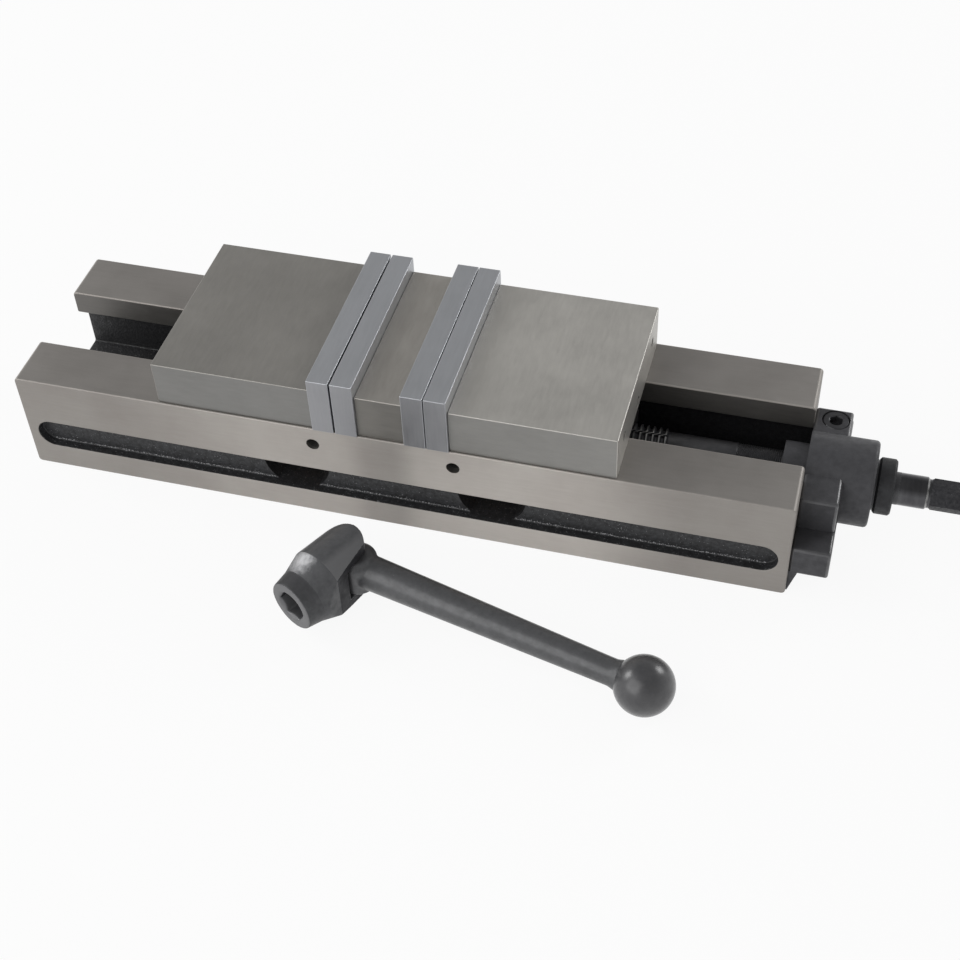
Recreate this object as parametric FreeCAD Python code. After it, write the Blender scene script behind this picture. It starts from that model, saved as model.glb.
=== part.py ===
# Double station machine vise: a fixed centre jaw, two outer jaws drawn in and out together by one
# screw with a left-hand and a right-hand thread, and the loose cranking handle that fits its hexagon.
# Frame: origin on the underside below the centre jaw, +X along the bed towards the screw's drive
# end, +Y to the rear, +Z up. Millimetres.

import FreeCAD
import Part
import math
import os

V = FreeCAD.Vector
X_AXIS = V(1, 0, 0)
Y_AXIS = V(0, 1, 0)
Z_AXIS = V(0, 0, 1)

# Width of the jaw plates, which stand a little proud of the bed on both sides
plate_width = 101.6
plate_overhang = 0.55

# Bed
bed_left = -196.5
bed_right = 201.0
bed_width = plate_width - 2 * plate_overhang
bed_height = 58.7
bed_edge = 0.6
slot_width = 40.5
lip_thickness = 13.6
cavity_width = 58.4
floor_thickness = 17.3
cavity_corner = 3.0
groove_height = 16.4
groove_depth = 5.0
groove_bottom = 14.2
groove_end_wall = 5.4
window_radius = 17.4
window_spacing = 102.3
window_centre_height = 27.7
stop_hole_spacing = 72.0
stop_hole_radius = 3.4
stop_hole_depth = 14.0
stop_hole_below_top = 10.4
key_pocket_width = 16.0
key_pocket_length = 30.0
key_pocket_depth = 5.0
key_pocket_spacing = 290.0
key_screw_radius = 2.5
key_screw_depth = 10.0

# Screw line
axis_height = 33.75
thread_radius = 11.0
core_radius = 9.5
journal_radius = 8.0
hex_flats = 14.0
hex_turn = 30.0
thread_start = 32.5
thread_end = 132.2
screw_left_end = -135.0
shoulder_inset = 5.0
hex_start = 261.0
screw_right_end = 284.0
running_clearance = 0.05

# Jaws and jaw plates
jaw_length = 82.0
jaw_width = 98.0
jaw_height = 24.8
jaw_edge = 0.8
centre_jaw_thickness = 23.8
plate_thickness = 11.1
plate_height = 32.4
plate_edge = 0.4
left_gap = 0.8
right_gap = 0.4
slide_clearance = 0.05
hold_down_clearance = 0.1
keel_inner_inset = 1.0
keel_outer_inset = 12.0
plate_screw_spacing = 60.0
plate_screw_above_bed = 15.0
jaw_screw_depth = 20.0
centre_screw_depth = 9.4
end_hole_spacing = 68.2
end_hole_above_bed = 14.4
end_hole_radius = 2.5
end_hole_depth = 14.0
set_screw_above_bed = 5.2
set_screw_length = 12.0
set_screw_inset = 1.5

# Nuts and guide blocks under the jaws
nut_length = 27.0
nut_inset = 0.5
nut_side_clearance = 1.0
nut_floor_clearance = 1.0
guide_length = 16.0
guide_outer_inset = 4.0
guide_bore_clearance = 0.6
block_screw_spacing = 32.0
block_screw_engagement = 9.0
block_edge = 1.0

# Centre jaw fixing
base_bolt_spacing = 74.4
base_bolt_engagement = 8.5
dowel_radius = 3.0
dowel_spacing = 52.0
dowel_below = 10.0
dowel_above = 9.0

# End housing, bush and collar
barrel_radius = 21.4
barrel_length = 33.0
barrel_edge = 2.0
pilot_radius = 14.7
pilot_length = 11.7
pilot_edge = 0.8
flange_thickness = 18.8
ear_width = 65.6
ear_top = 48.8
wing_width = 95.6
wing_top = 30.0
flange_bottom = 13.1
flange_corner = 2.0
web_fillet = 3.0
skirt_reach = 4.5
skirt_toe = 0.5
skirt_foot = 0.7
slit_width = 2.0
slit_start = 2.0
pinch_x = 10.2
pinch_y = 25.0
pinch_depth = 12.0
housing_screw_spacing = 74.4
housing_screw_height = 21.5
housing_screw_engagement = 16.0
throat_radius = 10.0
bush_radius = 12.0
bush_length = 26.0
wiper_radius = 12.4
wiper_length = 2.5
wiper_inset = 0.5
washer_thickness = 0.95
washer_radius = 12.5
collar_radius = 13.9
collar_length = 8.6
collar_edge = 1.0
collar_screw_radius = 2.5

# Metric socket head cap screws: shank radius, head radius, head height, key across flats
M6 = (3.0, 5.0, 6.0, 5.0)
M8 = (4.0, 6.5, 8.0, 6.0)
hole_clearance = 0.4
tapped_clearance = 0.05
head_clearance = 0.3
head_recess = 0.2
key_depth_share = 0.5

# Handle, lying on the surface in front of the bed; its pin stands beside the head's own axis
pivot_x = -0.2
pivot_y = -97.25
hub_direction = 61.7
arm_direction = -12.9
hub_radius = 18.4
pin_offset = 5.2
nose_radius = 12.9
nose_root_radius = 14.5
nose_length = 8.5
cone_length = 10.7
nose_to_pivot = 38.2
pivot_to_end = 7.7
end_radius = 14.2
end_side = 1.6
end_taper = 11.0
socket_flats = 14.2
socket_depth = 24.0
socket_chamfer = 1.0
nose_edge = 0.6
pivot_to_flat = 4.0
flat_turn = 13.0
fork_slot = 19.6
fork_gap = 0.7
eye_radius = 10.3
eye_bevel = 3.0
tongue_clearance = 0.1
pin_radius = 2.8
arm_length = 151.7
arm_root_radius = 8.7
arm_tip_radius = 6.5
ball_radius = 14.35
spigot_radius = 4.0
spigot_length = 11.0

# Values worked out from the sizes above
top = bed_height
lip_bottom = top - lip_thickness
half_slot = slot_width / 2
half_cavity = cavity_width / 2
bed_middle = (bed_left + bed_right) / 2
centre_face = centre_jaw_thickness / 2
left_jaw_face = -(centre_face + 2 * plate_thickness + left_gap)
right_jaw_face = centre_face + 2 * plate_thickness + right_gap
screw_height_on_plate = top + plate_screw_above_bed
barrel_end = bed_right + barrel_length
bush_start = barrel_end - bush_length
shoulder_x = bed_right + shoulder_inset
washer_end = barrel_end + running_clearance + washer_thickness


def box(x0, x1, y0, y1, z0, z1):
    return Part.makeBox(x1 - x0, y1 - y0, z1 - z0, V(x0, y0, z0))


def edged_box(x0, x1, y0, y1, z0, z1, edge):
    block = box(x0, x1, y0, y1, z0, z1)
    return block.makeChamfer(edge, block.Edges)


def rod(radius, start, end):
    """A cylinder between two points."""
    along = end.sub(start)
    return Part.makeCylinder(radius, along.Length, start, along)


def screw_line(radius, x0, x1):
    """A cylinder on the axis of the lead screw."""
    return rod(radius, V(x0, 0, axis_height), V(x1, 0, axis_height))


def edged_rod(radius, x0, x1, edge):
    """A cylinder on the screw's axis with both rims bevelled."""
    bar = screw_line(radius, x0, x1)
    rims = [e for e in bar.Edges if isinstance(e.Curve, Part.Circle)]
    return bar.makeChamfer(edge, rims)


def hexagon(flats, start, along, turn=0.0):
    """A hexagonal prism; turn rolls its corners about the axis, in degrees."""
    direction = V(along).normalize()
    side = V(direction.y, -direction.x, 0)
    if side.Length < 1e-6:
        side = V(1, 0, 0)
    side.normalize()
    reach = flats / math.sqrt(3)
    corners = []
    for n in range(7):
        spin = FreeCAD.Rotation(direction, 60 * n + turn)
        corners.append(start.add(spin.multVec(V(side) * reach)))
    return Part.Face(Part.makePolygon(corners)).extrude(along)


def extrude_outline(points, along):
    """A closed flat outline, pushed along a vector."""
    return Part.Face(Part.makePolygon(points + [points[0]])).extrude(along)


def cap_screw(size, seat, along, length):
    """A socket head cap screw: seat is the head's underside, along points from head to tip."""
    shank, head, head_height, key = size
    down = V(along).normalize()
    back = V(down) * -head_height
    body = rod(shank, seat, seat.add(V(down) * length))
    cap = rod(head, seat.add(back), seat)
    key_depth = head_height * key_depth_share
    socket = hexagon(key, seat.add(back), V(down) * key_depth)
    return body.fuse(cap).cut(socket).removeSplitter()


def screw_pocket(size, seat, along, grip, depth, mouth):
    """The hole for a cap screw: head pocket of depth mouth, clear hole over grip, tapped beyond."""
    shank, head, head_height, key = size
    down = V(along).normalize()
    pocket = rod(head + head_clearance, seat.add(V(down) * -mouth), seat)
    clear = rod(shank + hole_clearance, seat, seat.add(V(down) * grip))
    tapped = rod(shank + tapped_clearance, seat, seat.add(V(down) * depth))
    return pocket.fuse([clear, tapped])


def set_screw(radius, start, along, key):
    """A headless socket screw, its key hole at the start."""
    body = rod(radius, start, start.add(along))
    return body.cut(hexagon(key, start, V(along) * 0.45))


def write(name, solids):
    shape = solids[0] if len(solids) == 1 else Part.makeCompound(solids)
    shape.exportStep("parts/" + name + ".step")


# Seats shared by a screw and the pieces that it passes through
head_pocket = M8[2] + head_recess
plate_web = plate_thickness - head_pocket
base_bolt_seat = M8[2] + 1.0
housing_grip = flange_thickness - head_pocket


def plate_seats(plate_front, outward):
    """Where the screw heads seat in a jaw plate; outward is the side its working face is on."""
    x = plate_front - outward * head_pocket
    return [V(x, side * plate_screw_spacing / 2, screw_height_on_plate) for side in (-1, 1)]


def base_bolt_seats():
    return [V(0, side * base_bolt_spacing / 2, base_bolt_seat) for side in (-1, 1)]


def housing_seats():
    x = bed_right + housing_grip
    return [V(x, side * housing_screw_spacing / 2, housing_screw_height) for side in (-1, 1)]


def side_groove(side):
    """The long clamp groove in one flank of the bed, open to the outside, with round ends."""
    radius = groove_height / 2
    middle = groove_bottom + radius
    x0 = bed_left + groove_end_wall + radius
    x1 = bed_right - groove_end_wall - radius
    outer = side * (bed_width / 2 + 1)
    inner = side * (bed_width / 2 - groove_depth)
    straight = box(x0, x1, min(outer, inner), max(outer, inner), groove_bottom, groove_bottom + groove_height)
    ends = [rod(radius, V(x, inner, middle), V(x, outer, middle)) for x in (x0, x1)]
    return straight.fuse(ends)


def chip_window(side, x):
    """A cored opening from the side groove into the screw channel, round where the groove shows it."""
    inner = side * (half_cavity - cavity_corner)
    outer = side * (bed_width / 2 - groove_depth / 2)
    core = rod(window_radius, V(x, inner, window_centre_height), V(x, outer, window_centre_height))
    reach = window_radius + 1
    band = box(x - reach, x + reach, min(inner, outer), max(inner, outer),
               groove_bottom, groove_bottom + groove_height)
    return core.common(band)


def bed_casting():
    body = edged_box(bed_left, bed_right, -bed_width / 2, bed_width / 2, 0, top, bed_edge)
    length = V(bed_right - bed_left + 2, 0, 0)
    x = bed_left - 1
    slot = extrude_outline([
        V(x, -half_slot, floor_thickness + 1),
        V(x, half_slot, floor_thickness + 1),
        V(x, half_slot, top - bed_edge),
        V(x, half_slot + 2 * bed_edge, top + bed_edge),
        V(x, -half_slot - 2 * bed_edge, top + bed_edge),
        V(x, -half_slot, top - bed_edge)], length)
    cavity = box(x, x + length.x, -half_cavity, half_cavity, floor_thickness, lip_bottom)
    floor_edges = [e for e in cavity.Edges
                   if abs(e.CenterOfMass.z - floor_thickness) < 0.01 and abs(abs(e.CenterOfMass.y) - half_cavity) < 0.01]
    cavity = cavity.makeFillet(cavity_corner, floor_edges)
    body = body.cut(slot.fuse(cavity))
    for side in (-1, 1):
        body = body.cut(side_groove(side))
        for offset in (-window_spacing / 2, window_spacing / 2):
            body = body.cut(chip_window(side, bed_middle + offset))
        for x in (-stop_hole_spacing / 2, stop_hole_spacing / 2):
            mouth = V(x, side * (bed_width / 2 + 1), top - stop_hole_below_top)
            bottom = V(x, side * (bed_width / 2 - stop_hole_depth), mouth.z)
            body = body.cut(rod(stop_hole_radius, mouth, bottom))
        dowel = V(0, side * dowel_spacing / 2, top - dowel_below)
        body = body.cut(rod(dowel_radius, dowel, dowel.add(V(0, 0, dowel_below + 1))))
    for seat in base_bolt_seats():
        body = body.cut(screw_pocket(M8, seat, Z_AXIS, top - seat.z + 1, 1, seat.z + 1))
    for seat in housing_seats():
        start = V(bed_right + 1, seat.y, seat.z)
        body = body.cut(rod(M8[0] + tapped_clearance, start, V(bed_right - housing_screw_engagement - 2, seat.y, seat.z)))
    for x in (-key_pocket_spacing / 2, key_pocket_spacing / 2):
        half = key_pocket_length / 2
        body = body.cut(box(x - half, x + half, -key_pocket_width / 2, key_pocket_width / 2, -1, key_pocket_depth))
        body = body.cut(rod(key_screw_radius, V(x, 0, 0), V(x, 0, key_pocket_depth + key_screw_depth)))
    return body.removeSplitter()


def centre_jaw():
    """The fixed jaw: a block across both rails with a keel between the lips of the channel."""
    block = edged_box(-centre_face, centre_face, -jaw_width / 2, jaw_width / 2, top, top + jaw_height, jaw_edge)
    keel_half = half_slot - slide_clearance
    keel = box(-centre_face + jaw_edge, centre_face - jaw_edge, -keel_half, keel_half, lip_bottom, top + jaw_edge)
    jaw = block.fuse(keel)
    for outward in (-1, 1):
        front = outward * (centre_face + plate_thickness)
        for seat in plate_seats(front, outward):
            jaw = jaw.cut(rod(M8[0] + tapped_clearance, seat, seat.add(V(-outward * (plate_web + centre_screw_depth + 1), 0, 0))))
    for side in (-1, 1):
        y = side * base_bolt_spacing / 2
        jaw = jaw.cut(rod(M8[0] + tapped_clearance, V(0, y, top - 1), V(0, y, top + base_bolt_engagement + 0.5)))
        y = side * dowel_spacing / 2
        jaw = jaw.cut(rod(dowel_radius, V(0, y, top - 1), V(0, y, top + dowel_above)))
    return jaw.removeSplitter()


def jaw_plate(front, outward):
    """A ground jaw plate with two counterbored screw holes; outward is the side of its working face."""
    back = front - outward * plate_thickness
    plate = edged_box(min(front, back), max(front, back), -plate_width / 2, plate_width / 2,
                      top, top + plate_height, plate_edge)
    for seat in plate_seats(front, outward):
        plate = plate.cut(screw_pocket(M8, seat, X_AXIS * -outward, plate_web + 1, 1, head_pocket + 1))
    return plate.removeSplitter()


def moving_jaw(face, outward):
    """A sliding jaw; face is its plate seat and outward the way it opens."""
    end = face + outward * jaw_length
    block = edged_box(min(face, end), max(face, end), -jaw_width / 2, jaw_width / 2, top, top + jaw_height, jaw_edge)
    keel_half = half_slot - slide_clearance
    keel_start = face + outward * keel_inner_inset
    keel_end = end - outward * keel_outer_inset
    keel_end = max(keel_start, keel_end) if outward > 0 else min(keel_start, keel_end)
    bottom = lip_bottom - hold_down_clearance
    keel = box(min(keel_start, keel_end), max(keel_start, keel_end), -keel_half, keel_half, bottom, top + jaw_edge)
    guide_start, guide_end = guide_span(face, outward)
    tail = box(min(guide_start, guide_end), max(guide_start, guide_end), -keel_half, keel_half, bottom, top + jaw_edge)
    jaw = block.fuse([keel, tail])
    for seat in plate_seats(face - outward * plate_thickness, -outward):
        tip = seat.add(V(outward * (plate_web + jaw_screw_depth + 1), 0, 0))
        jaw = jaw.cut(rod(M8[0] + tapped_clearance, seat, tip))
    for side in (-1, 1):
        y = side * end_hole_spacing / 2
        z = top + end_hole_above_bed
        jaw = jaw.cut(rod(end_hole_radius, V(end + outward, y, z), V(end - outward * end_hole_depth, y, z)))
    z = top + set_screw_above_bed
    depth = set_screw_inset + set_screw_length
    jaw = jaw.cut(rod(M6[0], V(end + outward, 0, z), V(end - outward * depth, 0, z)))
    for span in (nut_span(face, outward), guide_span(face, outward)):
        for seat in block_seats(span):
            depth = bottom - seat.z + block_screw_engagement
            jaw = jaw.cut(rod(M6[0] + tapped_clearance, V(seat.x, seat.y, bottom - 1), V(seat.x, seat.y, seat.z + depth + 1)))
    return jaw.removeSplitter()


def nut_span(face, outward):
    start = face + outward * nut_inset
    return start, start + outward * nut_length


def guide_span(face, outward):
    end = face + outward * (jaw_length - guide_outer_inset)
    return end - outward * guide_length, end


def block_seats(span):
    """Head seats of the two screws that hold a nut or guide block up against the jaw's keel."""
    z = floor_thickness + nut_floor_clearance + M6[2] + 0.5
    return [V((span[0] + span[1]) / 2, side * block_screw_spacing / 2, z) for side in (-1, 1)]


def channel_block(span, bore):
    """A block in the screw channel whose shoulders run under the lips; the screw passes through it."""
    half = half_cavity - nut_side_clearance
    bottom = floor_thickness + nut_floor_clearance
    high = lip_bottom - hold_down_clearance
    block = edged_box(min(span), max(span), -half, half, bottom, high, block_edge)
    flat = box(min(span), max(span), -half + block_edge, half - block_edge, high - 2 * block_edge, high)
    block = block.fuse(flat)
    block = block.cut(screw_line(bore, min(span) - 1, max(span) + 1))
    for seat in block_seats(span):
        block = block.cut(screw_pocket(M6, seat, Z_AXIS, high - seat.z + 1, 1, seat.z - bottom + 1))
    return block.removeSplitter()


def block_screws(span):
    length = lip_bottom - hold_down_clearance - block_seats(span)[0].z + block_screw_engagement
    return [cap_screw(M6, seat, Z_AXIS, length) for seat in block_seats(span)]


def lead_screw():
    """One bar: two threads drawn at their outside diameter, a shank, a journal and a driving hexagon."""
    chamfer = thread_radius - core_radius
    bar = edged_rod(core_radius, screw_left_end, shoulder_x, 0.8)
    threads = [edged_rod(thread_radius, -thread_end, -thread_start, chamfer),
               edged_rod(thread_radius, thread_start, thread_end, chamfer)]
    journal = screw_line(journal_radius, shoulder_x - 1, hex_start)
    tip = edged_rod(journal_radius, hex_start - 2, screw_right_end, 1.0)
    start = V(hex_start, 0, axis_height)
    prism = hexagon(hex_flats, start, V(screw_right_end - hex_start, 0, 0), hex_turn)
    keep = screw_line(journal_radius, hex_start - 2, hex_start).fuse(prism)
    return bar.fuse(threads + [journal, tip.common(keep)]).removeSplitter()


def end_housing():
    """Cast bearing carrier: a barrel, a pilot in the channel, two ears, two bolted wings and a skirt."""
    z0 = flange_bottom
    x1 = bed_right + flange_thickness
    ears = box(bed_right, x1, -ear_width / 2, ear_width / 2, z0, ear_top)
    wings = box(bed_right, x1, -wing_width / 2, wing_width / 2, z0, wing_top)
    flange = ears.fuse(wings).removeSplitter()
    inner = [e for e in flange.Edges
             if abs(e.CenterOfMass.z - wing_top) < 0.01 and abs(abs(e.CenterOfMass.y) - ear_width / 2) < 0.01]
    flange = flange.makeFillet(web_fillet, inner)
    outer = [e for e in flange.Edges
             if abs(e.CenterOfMass.x - x1) < 0.01 and abs(e.tangentAt(e.FirstParameter).z) > 0.9]
    flange = flange.makeFillet(flange_corner, outer)
    barrel = screw_line(barrel_radius, bed_right, barrel_end)
    barrel = barrel.makeFillet(barrel_edge, [e for e in barrel.Edges if abs(e.CenterOfMass.x - barrel_end) < 0.01])
    pilot = edged_rod(pilot_radius, bed_right - pilot_length, bed_right + 2 * pilot_edge, pilot_edge)
    skirt = extrude_outline([
        V(bed_right, -wing_width / 2, skirt_foot),
        V(bed_right + skirt_toe, -wing_width / 2, skirt_foot),
        V(bed_right + skirt_reach, -wing_width / 2, z0),
        V(bed_right, -wing_width / 2, z0)], V(0, wing_width, 0))
    body = flange.fuse([barrel, pilot, skirt])
    start = bed_right - pilot_length
    body = body.cut(screw_line(throat_radius, start - 1, bush_start + 1))
    body = body.cut(screw_line(bush_radius, bush_start, barrel_end + 1))
    body = body.cut(screw_line(wiper_radius, start + wiper_inset, start + wiper_inset + wiper_length))
    slit = box(bed_right + slit_start, barrel_end + 1, throat_radius - 1, ear_width / 2 + 1,
               axis_height - slit_width / 2, axis_height + slit_width / 2)
    body = body.cut(slit)
    body = body.cut(screw_pocket(M8, pinch_seat(), Z_AXIS * -1, pinch_grip(), pinch_grip() + pinch_depth + 1,
                                 ear_top - pinch_seat().z + 1))
    for seat in housing_seats():
        body = body.cut(screw_pocket(M8, seat, X_AXIS * -1, housing_grip + 1, 1, head_pocket + 1))
    return body.removeSplitter()


def pinch_seat():
    return V(bed_right + pinch_x, pinch_y, ear_top - head_pocket)


def pinch_grip():
    """Depth of the clear hole, from the head's seat to below the slit."""
    return pinch_seat().z - axis_height + slit_width / 2


def ring(inner, outer, x0, x1):
    return screw_line(outer, x0, x1).cut(screw_line(inner, x0 - 1, x1 + 1))


def collar():
    """The lock collar on the journal, bevelled, with a radial tapped hole low at the back."""
    x0 = washer_end
    body = edged_rod(collar_radius, x0, x0 + collar_length, collar_edge)
    body = body.cut(screw_line(journal_radius, x0 - 1, x0 + collar_length + 1))
    start, along = collar_screw_line()
    return body.cut(rod(collar_screw_radius, start.sub(V(along) * 0.3), start.add(V(along) * 1.0)))


def collar_screw_line():
    x = washer_end + collar_length / 2
    outward = V(0, math.sqrt(0.5), -math.sqrt(0.5))
    centre = V(x, 0, axis_height)
    start = centre.add(V(outward) * (collar_radius - 0.4))
    end = centre.add(V(outward) * journal_radius)
    return start, end.sub(start)


# Handle frame: x along the head from the nose to the fork's end, z up, origin at the pin
hub_placement = FreeCAD.Placement(V(pivot_x, pivot_y, hub_radius), FreeCAD.Rotation(Z_AXIS, hub_direction))
arm_turn = FreeCAD.Rotation(Z_AXIS, arm_direction - hub_direction)
arm_placement = FreeCAD.Placement(V(0, 0, 0), arm_turn)
ball_drop = hub_radius - ball_radius
arm_slope = math.asin(ball_drop / arm_length)


def placed(shape, *placements):
    """A copy moved by each placement in turn."""
    for placement in placements:
        shape = shape.transformed(placement.toMatrix())
    return shape


def hub_line(radius, x0, x1):
    """A cylinder on the head's own axis, which runs beside the pin."""
    return rod(radius, V(x0, pin_offset, 0), V(x1, pin_offset, 0))


def hub_plan():
    """The head seen from above: the arm's side is milled flat, the end is round and the far side tapers into it."""
    down = -hub_radius - 1
    nose = -nose_to_pivot - 1
    far = pin_offset + hub_radius + 1
    turn = math.radians(flat_turn)
    taper = math.radians(end_taper)
    centre = V(pivot_to_end - end_radius, pin_offset + end_side, down)
    along = V(math.cos(turn), math.sin(turn), 0)
    square = V(-math.sin(turn), math.cos(turn), 0)
    depth = centre.sub(V(0, -pivot_to_flat, down)).dot(square)
    flat_end = centre - square * depth + along * math.sqrt(end_radius ** 2 - depth ** 2)
    taper_end = centre + V(math.sin(taper), math.cos(taper), 0) * end_radius
    line = [taper_end, V(taper_end.x - (far - taper_end.y) / math.tan(taper), far, down), V(nose, far, down),
            V(nose, -pivot_to_flat + math.tan(turn) * nose, down), flat_end]
    sides = [Part.makeLine(near, next_point) for near, next_point in zip(line, line[1:])]
    sides.append(Part.Arc(flat_end, centre + V(end_radius, 0, 0), taper_end).toShape())
    return Part.Face(Part.Wire(sides)).extrude(V(0, 0, 2 * hub_radius + 2))


def handle_hub():
    """A turned head: nose, cone and barrel, with a hexagon socket, a milled flat and a fork for the arm."""
    x0 = -nose_to_pivot
    x1 = x0 + nose_length
    x2 = x1 + cone_length
    x3 = pivot_to_end
    profile = [V(x0, 0, 0), V(x0, 0, nose_radius - nose_edge), V(x0 + nose_edge, 0, nose_radius),
               V(x1, 0, nose_root_radius), V(x2, 0, hub_radius), V(x3, 0, hub_radius), V(x3, 0, 0)]
    outline = Part.makePolygon([point.add(V(0, pin_offset, 0)) for point in profile + profile[:1]])
    head = Part.Face(outline).revolve(V(0, pin_offset, 0), X_AXIS, 360)
    socket = hexagon(socket_flats, V(x0 - 1, pin_offset, 0), V(socket_depth + 1, 0, 0))
    mouth = Part.makeCone(socket_flats / math.sqrt(3) + socket_chamfer / 2, socket_flats / 2 - socket_chamfer,
                          2 * socket_chamfer, V(x0, pin_offset, 0), X_AXIS)
    head = head.common(hub_plan()).cut(socket.fuse(mouth))
    reach = 3 * hub_radius
    slot = box(-eye_radius - fork_gap, reach, -reach, reach, -fork_slot / 2, fork_slot / 2)
    return head.cut(slot).cut(rod(pin_radius, V(0, 0, -reach), V(0, 0, reach))).removeSplitter()


def handle_pin():
    """The swivel pin, ground off flush with the round of the head at both ends."""
    pin = rod(pin_radius, V(0, 0, -hub_radius), V(0, 0, hub_radius))
    return pin.common(hub_line(hub_radius, -2 * pin_radius, 2 * pin_radius))


def arm_point(s, up=0.0):
    """A point on the arm's sloping centre line, in the arm's own frame (x outward from the pivot)."""
    return V(s * math.cos(arm_slope), 0, up - s * math.sin(arm_slope))


def handle_arm():
    """A flat round eye that fills the fork, and a tapered round arm with a spigot for the ball."""
    half = fork_slot / 2 - tongue_clearance
    eye = rod(eye_radius, V(0, 0, -half), V(0, 0, half))
    rims = [e for e in eye.Edges if isinstance(e.Curve, Part.Circle)]
    eye = eye.makeChamfer(eye_bevel, rims)
    seat = ball_seat()
    root = 2 * pin_radius
    shaft = Part.makeCone(arm_root_radius, arm_tip_radius, seat - root, arm_point(root), arm_point(1.0))
    spigot = rod(spigot_radius, arm_point(seat - 1), arm_point(seat + spigot_length))
    arm = eye.fuse([shaft, spigot])
    return arm.cut(rod(pin_radius + running_clearance, V(0, 0, -half - 1), V(0, 0, half + 1))).removeSplitter()


def ball_seat():
    """Distance from the pivot to the flat on the ball that the arm's end seats on."""
    return arm_length - math.sqrt(ball_radius ** 2 - arm_tip_radius ** 2)


def handle_ball():
    centre = arm_point(arm_length)
    ball = Part.makeSphere(ball_radius, centre)
    seat = arm_point(ball_seat())
    back = arm_point(ball_seat() - 2 * ball_radius)
    ball = ball.cut(rod(ball_radius, back, seat))
    return ball.cut(rod(spigot_radius, seat, arm_point(ball_seat() + spigot_length)))


os.makedirs("parts", exist_ok=True)

write("bed_casting", [bed_casting()])
write("centre_jaw", [centre_jaw()])
bolt_length = top - base_bolt_seat + base_bolt_engagement
write("centre_jaw_bolts", [cap_screw(M8, seat, Z_AXIS, bolt_length) for seat in base_bolt_seats()])
write("centre_jaw_dowels", [rod(dowel_radius, V(0, side * dowel_spacing / 2, top - dowel_below),
                                V(0, side * dowel_spacing / 2, top + dowel_above)) for side in (-1, 1)])

for name, outward in (("left", -1), ("right", 1)):
    front = outward * (centre_face + plate_thickness)
    write("centre_" + name + "_plate", [jaw_plate(front, outward)])
    screws = [cap_screw(M8, seat, X_AXIS * -outward, plate_web + centre_screw_depth)
              for seat in plate_seats(front, outward)]
    write("centre_" + name + "_plate_screws", screws)

for name, outward, face in (("left", -1, left_jaw_face), ("right", 1, right_jaw_face)):
    front = face - outward * plate_thickness
    write(name + "_jaw", [moving_jaw(face, outward)])
    write(name + "_jaw_plate", [jaw_plate(front, -outward)])
    screws = [cap_screw(M8, seat, X_AXIS * outward, plate_web + jaw_screw_depth)
              for seat in plate_seats(front, -outward)]
    write(name + "_plate_screws", screws)
    write(name + "_nut", [channel_block(nut_span(face, outward), thread_radius + running_clearance)])
    write(name + "_nut_screws", block_screws(nut_span(face, outward)))
    write(name + "_guide_block", [channel_block(guide_span(face, outward), thread_radius + guide_bore_clearance)])
    write(name + "_guide_screws", block_screws(guide_span(face, outward)))
    end = face + outward * (jaw_length - set_screw_inset)
    start = V(end, 0, top + set_screw_above_bed)
    write(name + "_jaw_set_screw", [set_screw(M6[0], start, V(-outward * set_screw_length, 0, 0), 3.0)])

write("lead_screw", [lead_screw()])
write("end_housing", [end_housing()])
write("housing_screws", [cap_screw(M8, seat, X_AXIS * -1, housing_grip + housing_screw_engagement)
                         for seat in housing_seats()])
write("pinch_screw", [cap_screw(M8, pinch_seat(), Z_AXIS * -1, pinch_grip() + pinch_depth)])
write("screw_bush", [ring(journal_radius + running_clearance, bush_radius, bush_start, barrel_end)])
wiper_start = bed_right - pilot_length + wiper_inset
write("screw_wiper", [ring(core_radius + running_clearance, wiper_radius, wiper_start, wiper_start + wiper_length)])
write("inner_thrust_washer", [ring(journal_radius, throat_radius - 0.2, shoulder_x, bush_start - running_clearance)])
write("outer_thrust_washer", [ring(journal_radius, washer_radius, barrel_end + running_clearance, washer_end)])
write("lock_collar", [collar()])
collar_start, collar_along = collar_screw_line()
write("collar_set_screw", [set_screw(collar_screw_radius, collar_start, collar_along, 2.5)])

write("handle_hub", [placed(handle_hub(), hub_placement)])
write("handle_pin", [placed(handle_pin(), hub_placement)])
write("handle_arm", [placed(handle_arm(), arm_placement, hub_placement)])
write("handle_ball", [placed(handle_ball(), arm_placement, hub_placement)])
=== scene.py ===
import math

import bmesh
import bpy
from mathutils import Matrix, Vector


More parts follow.
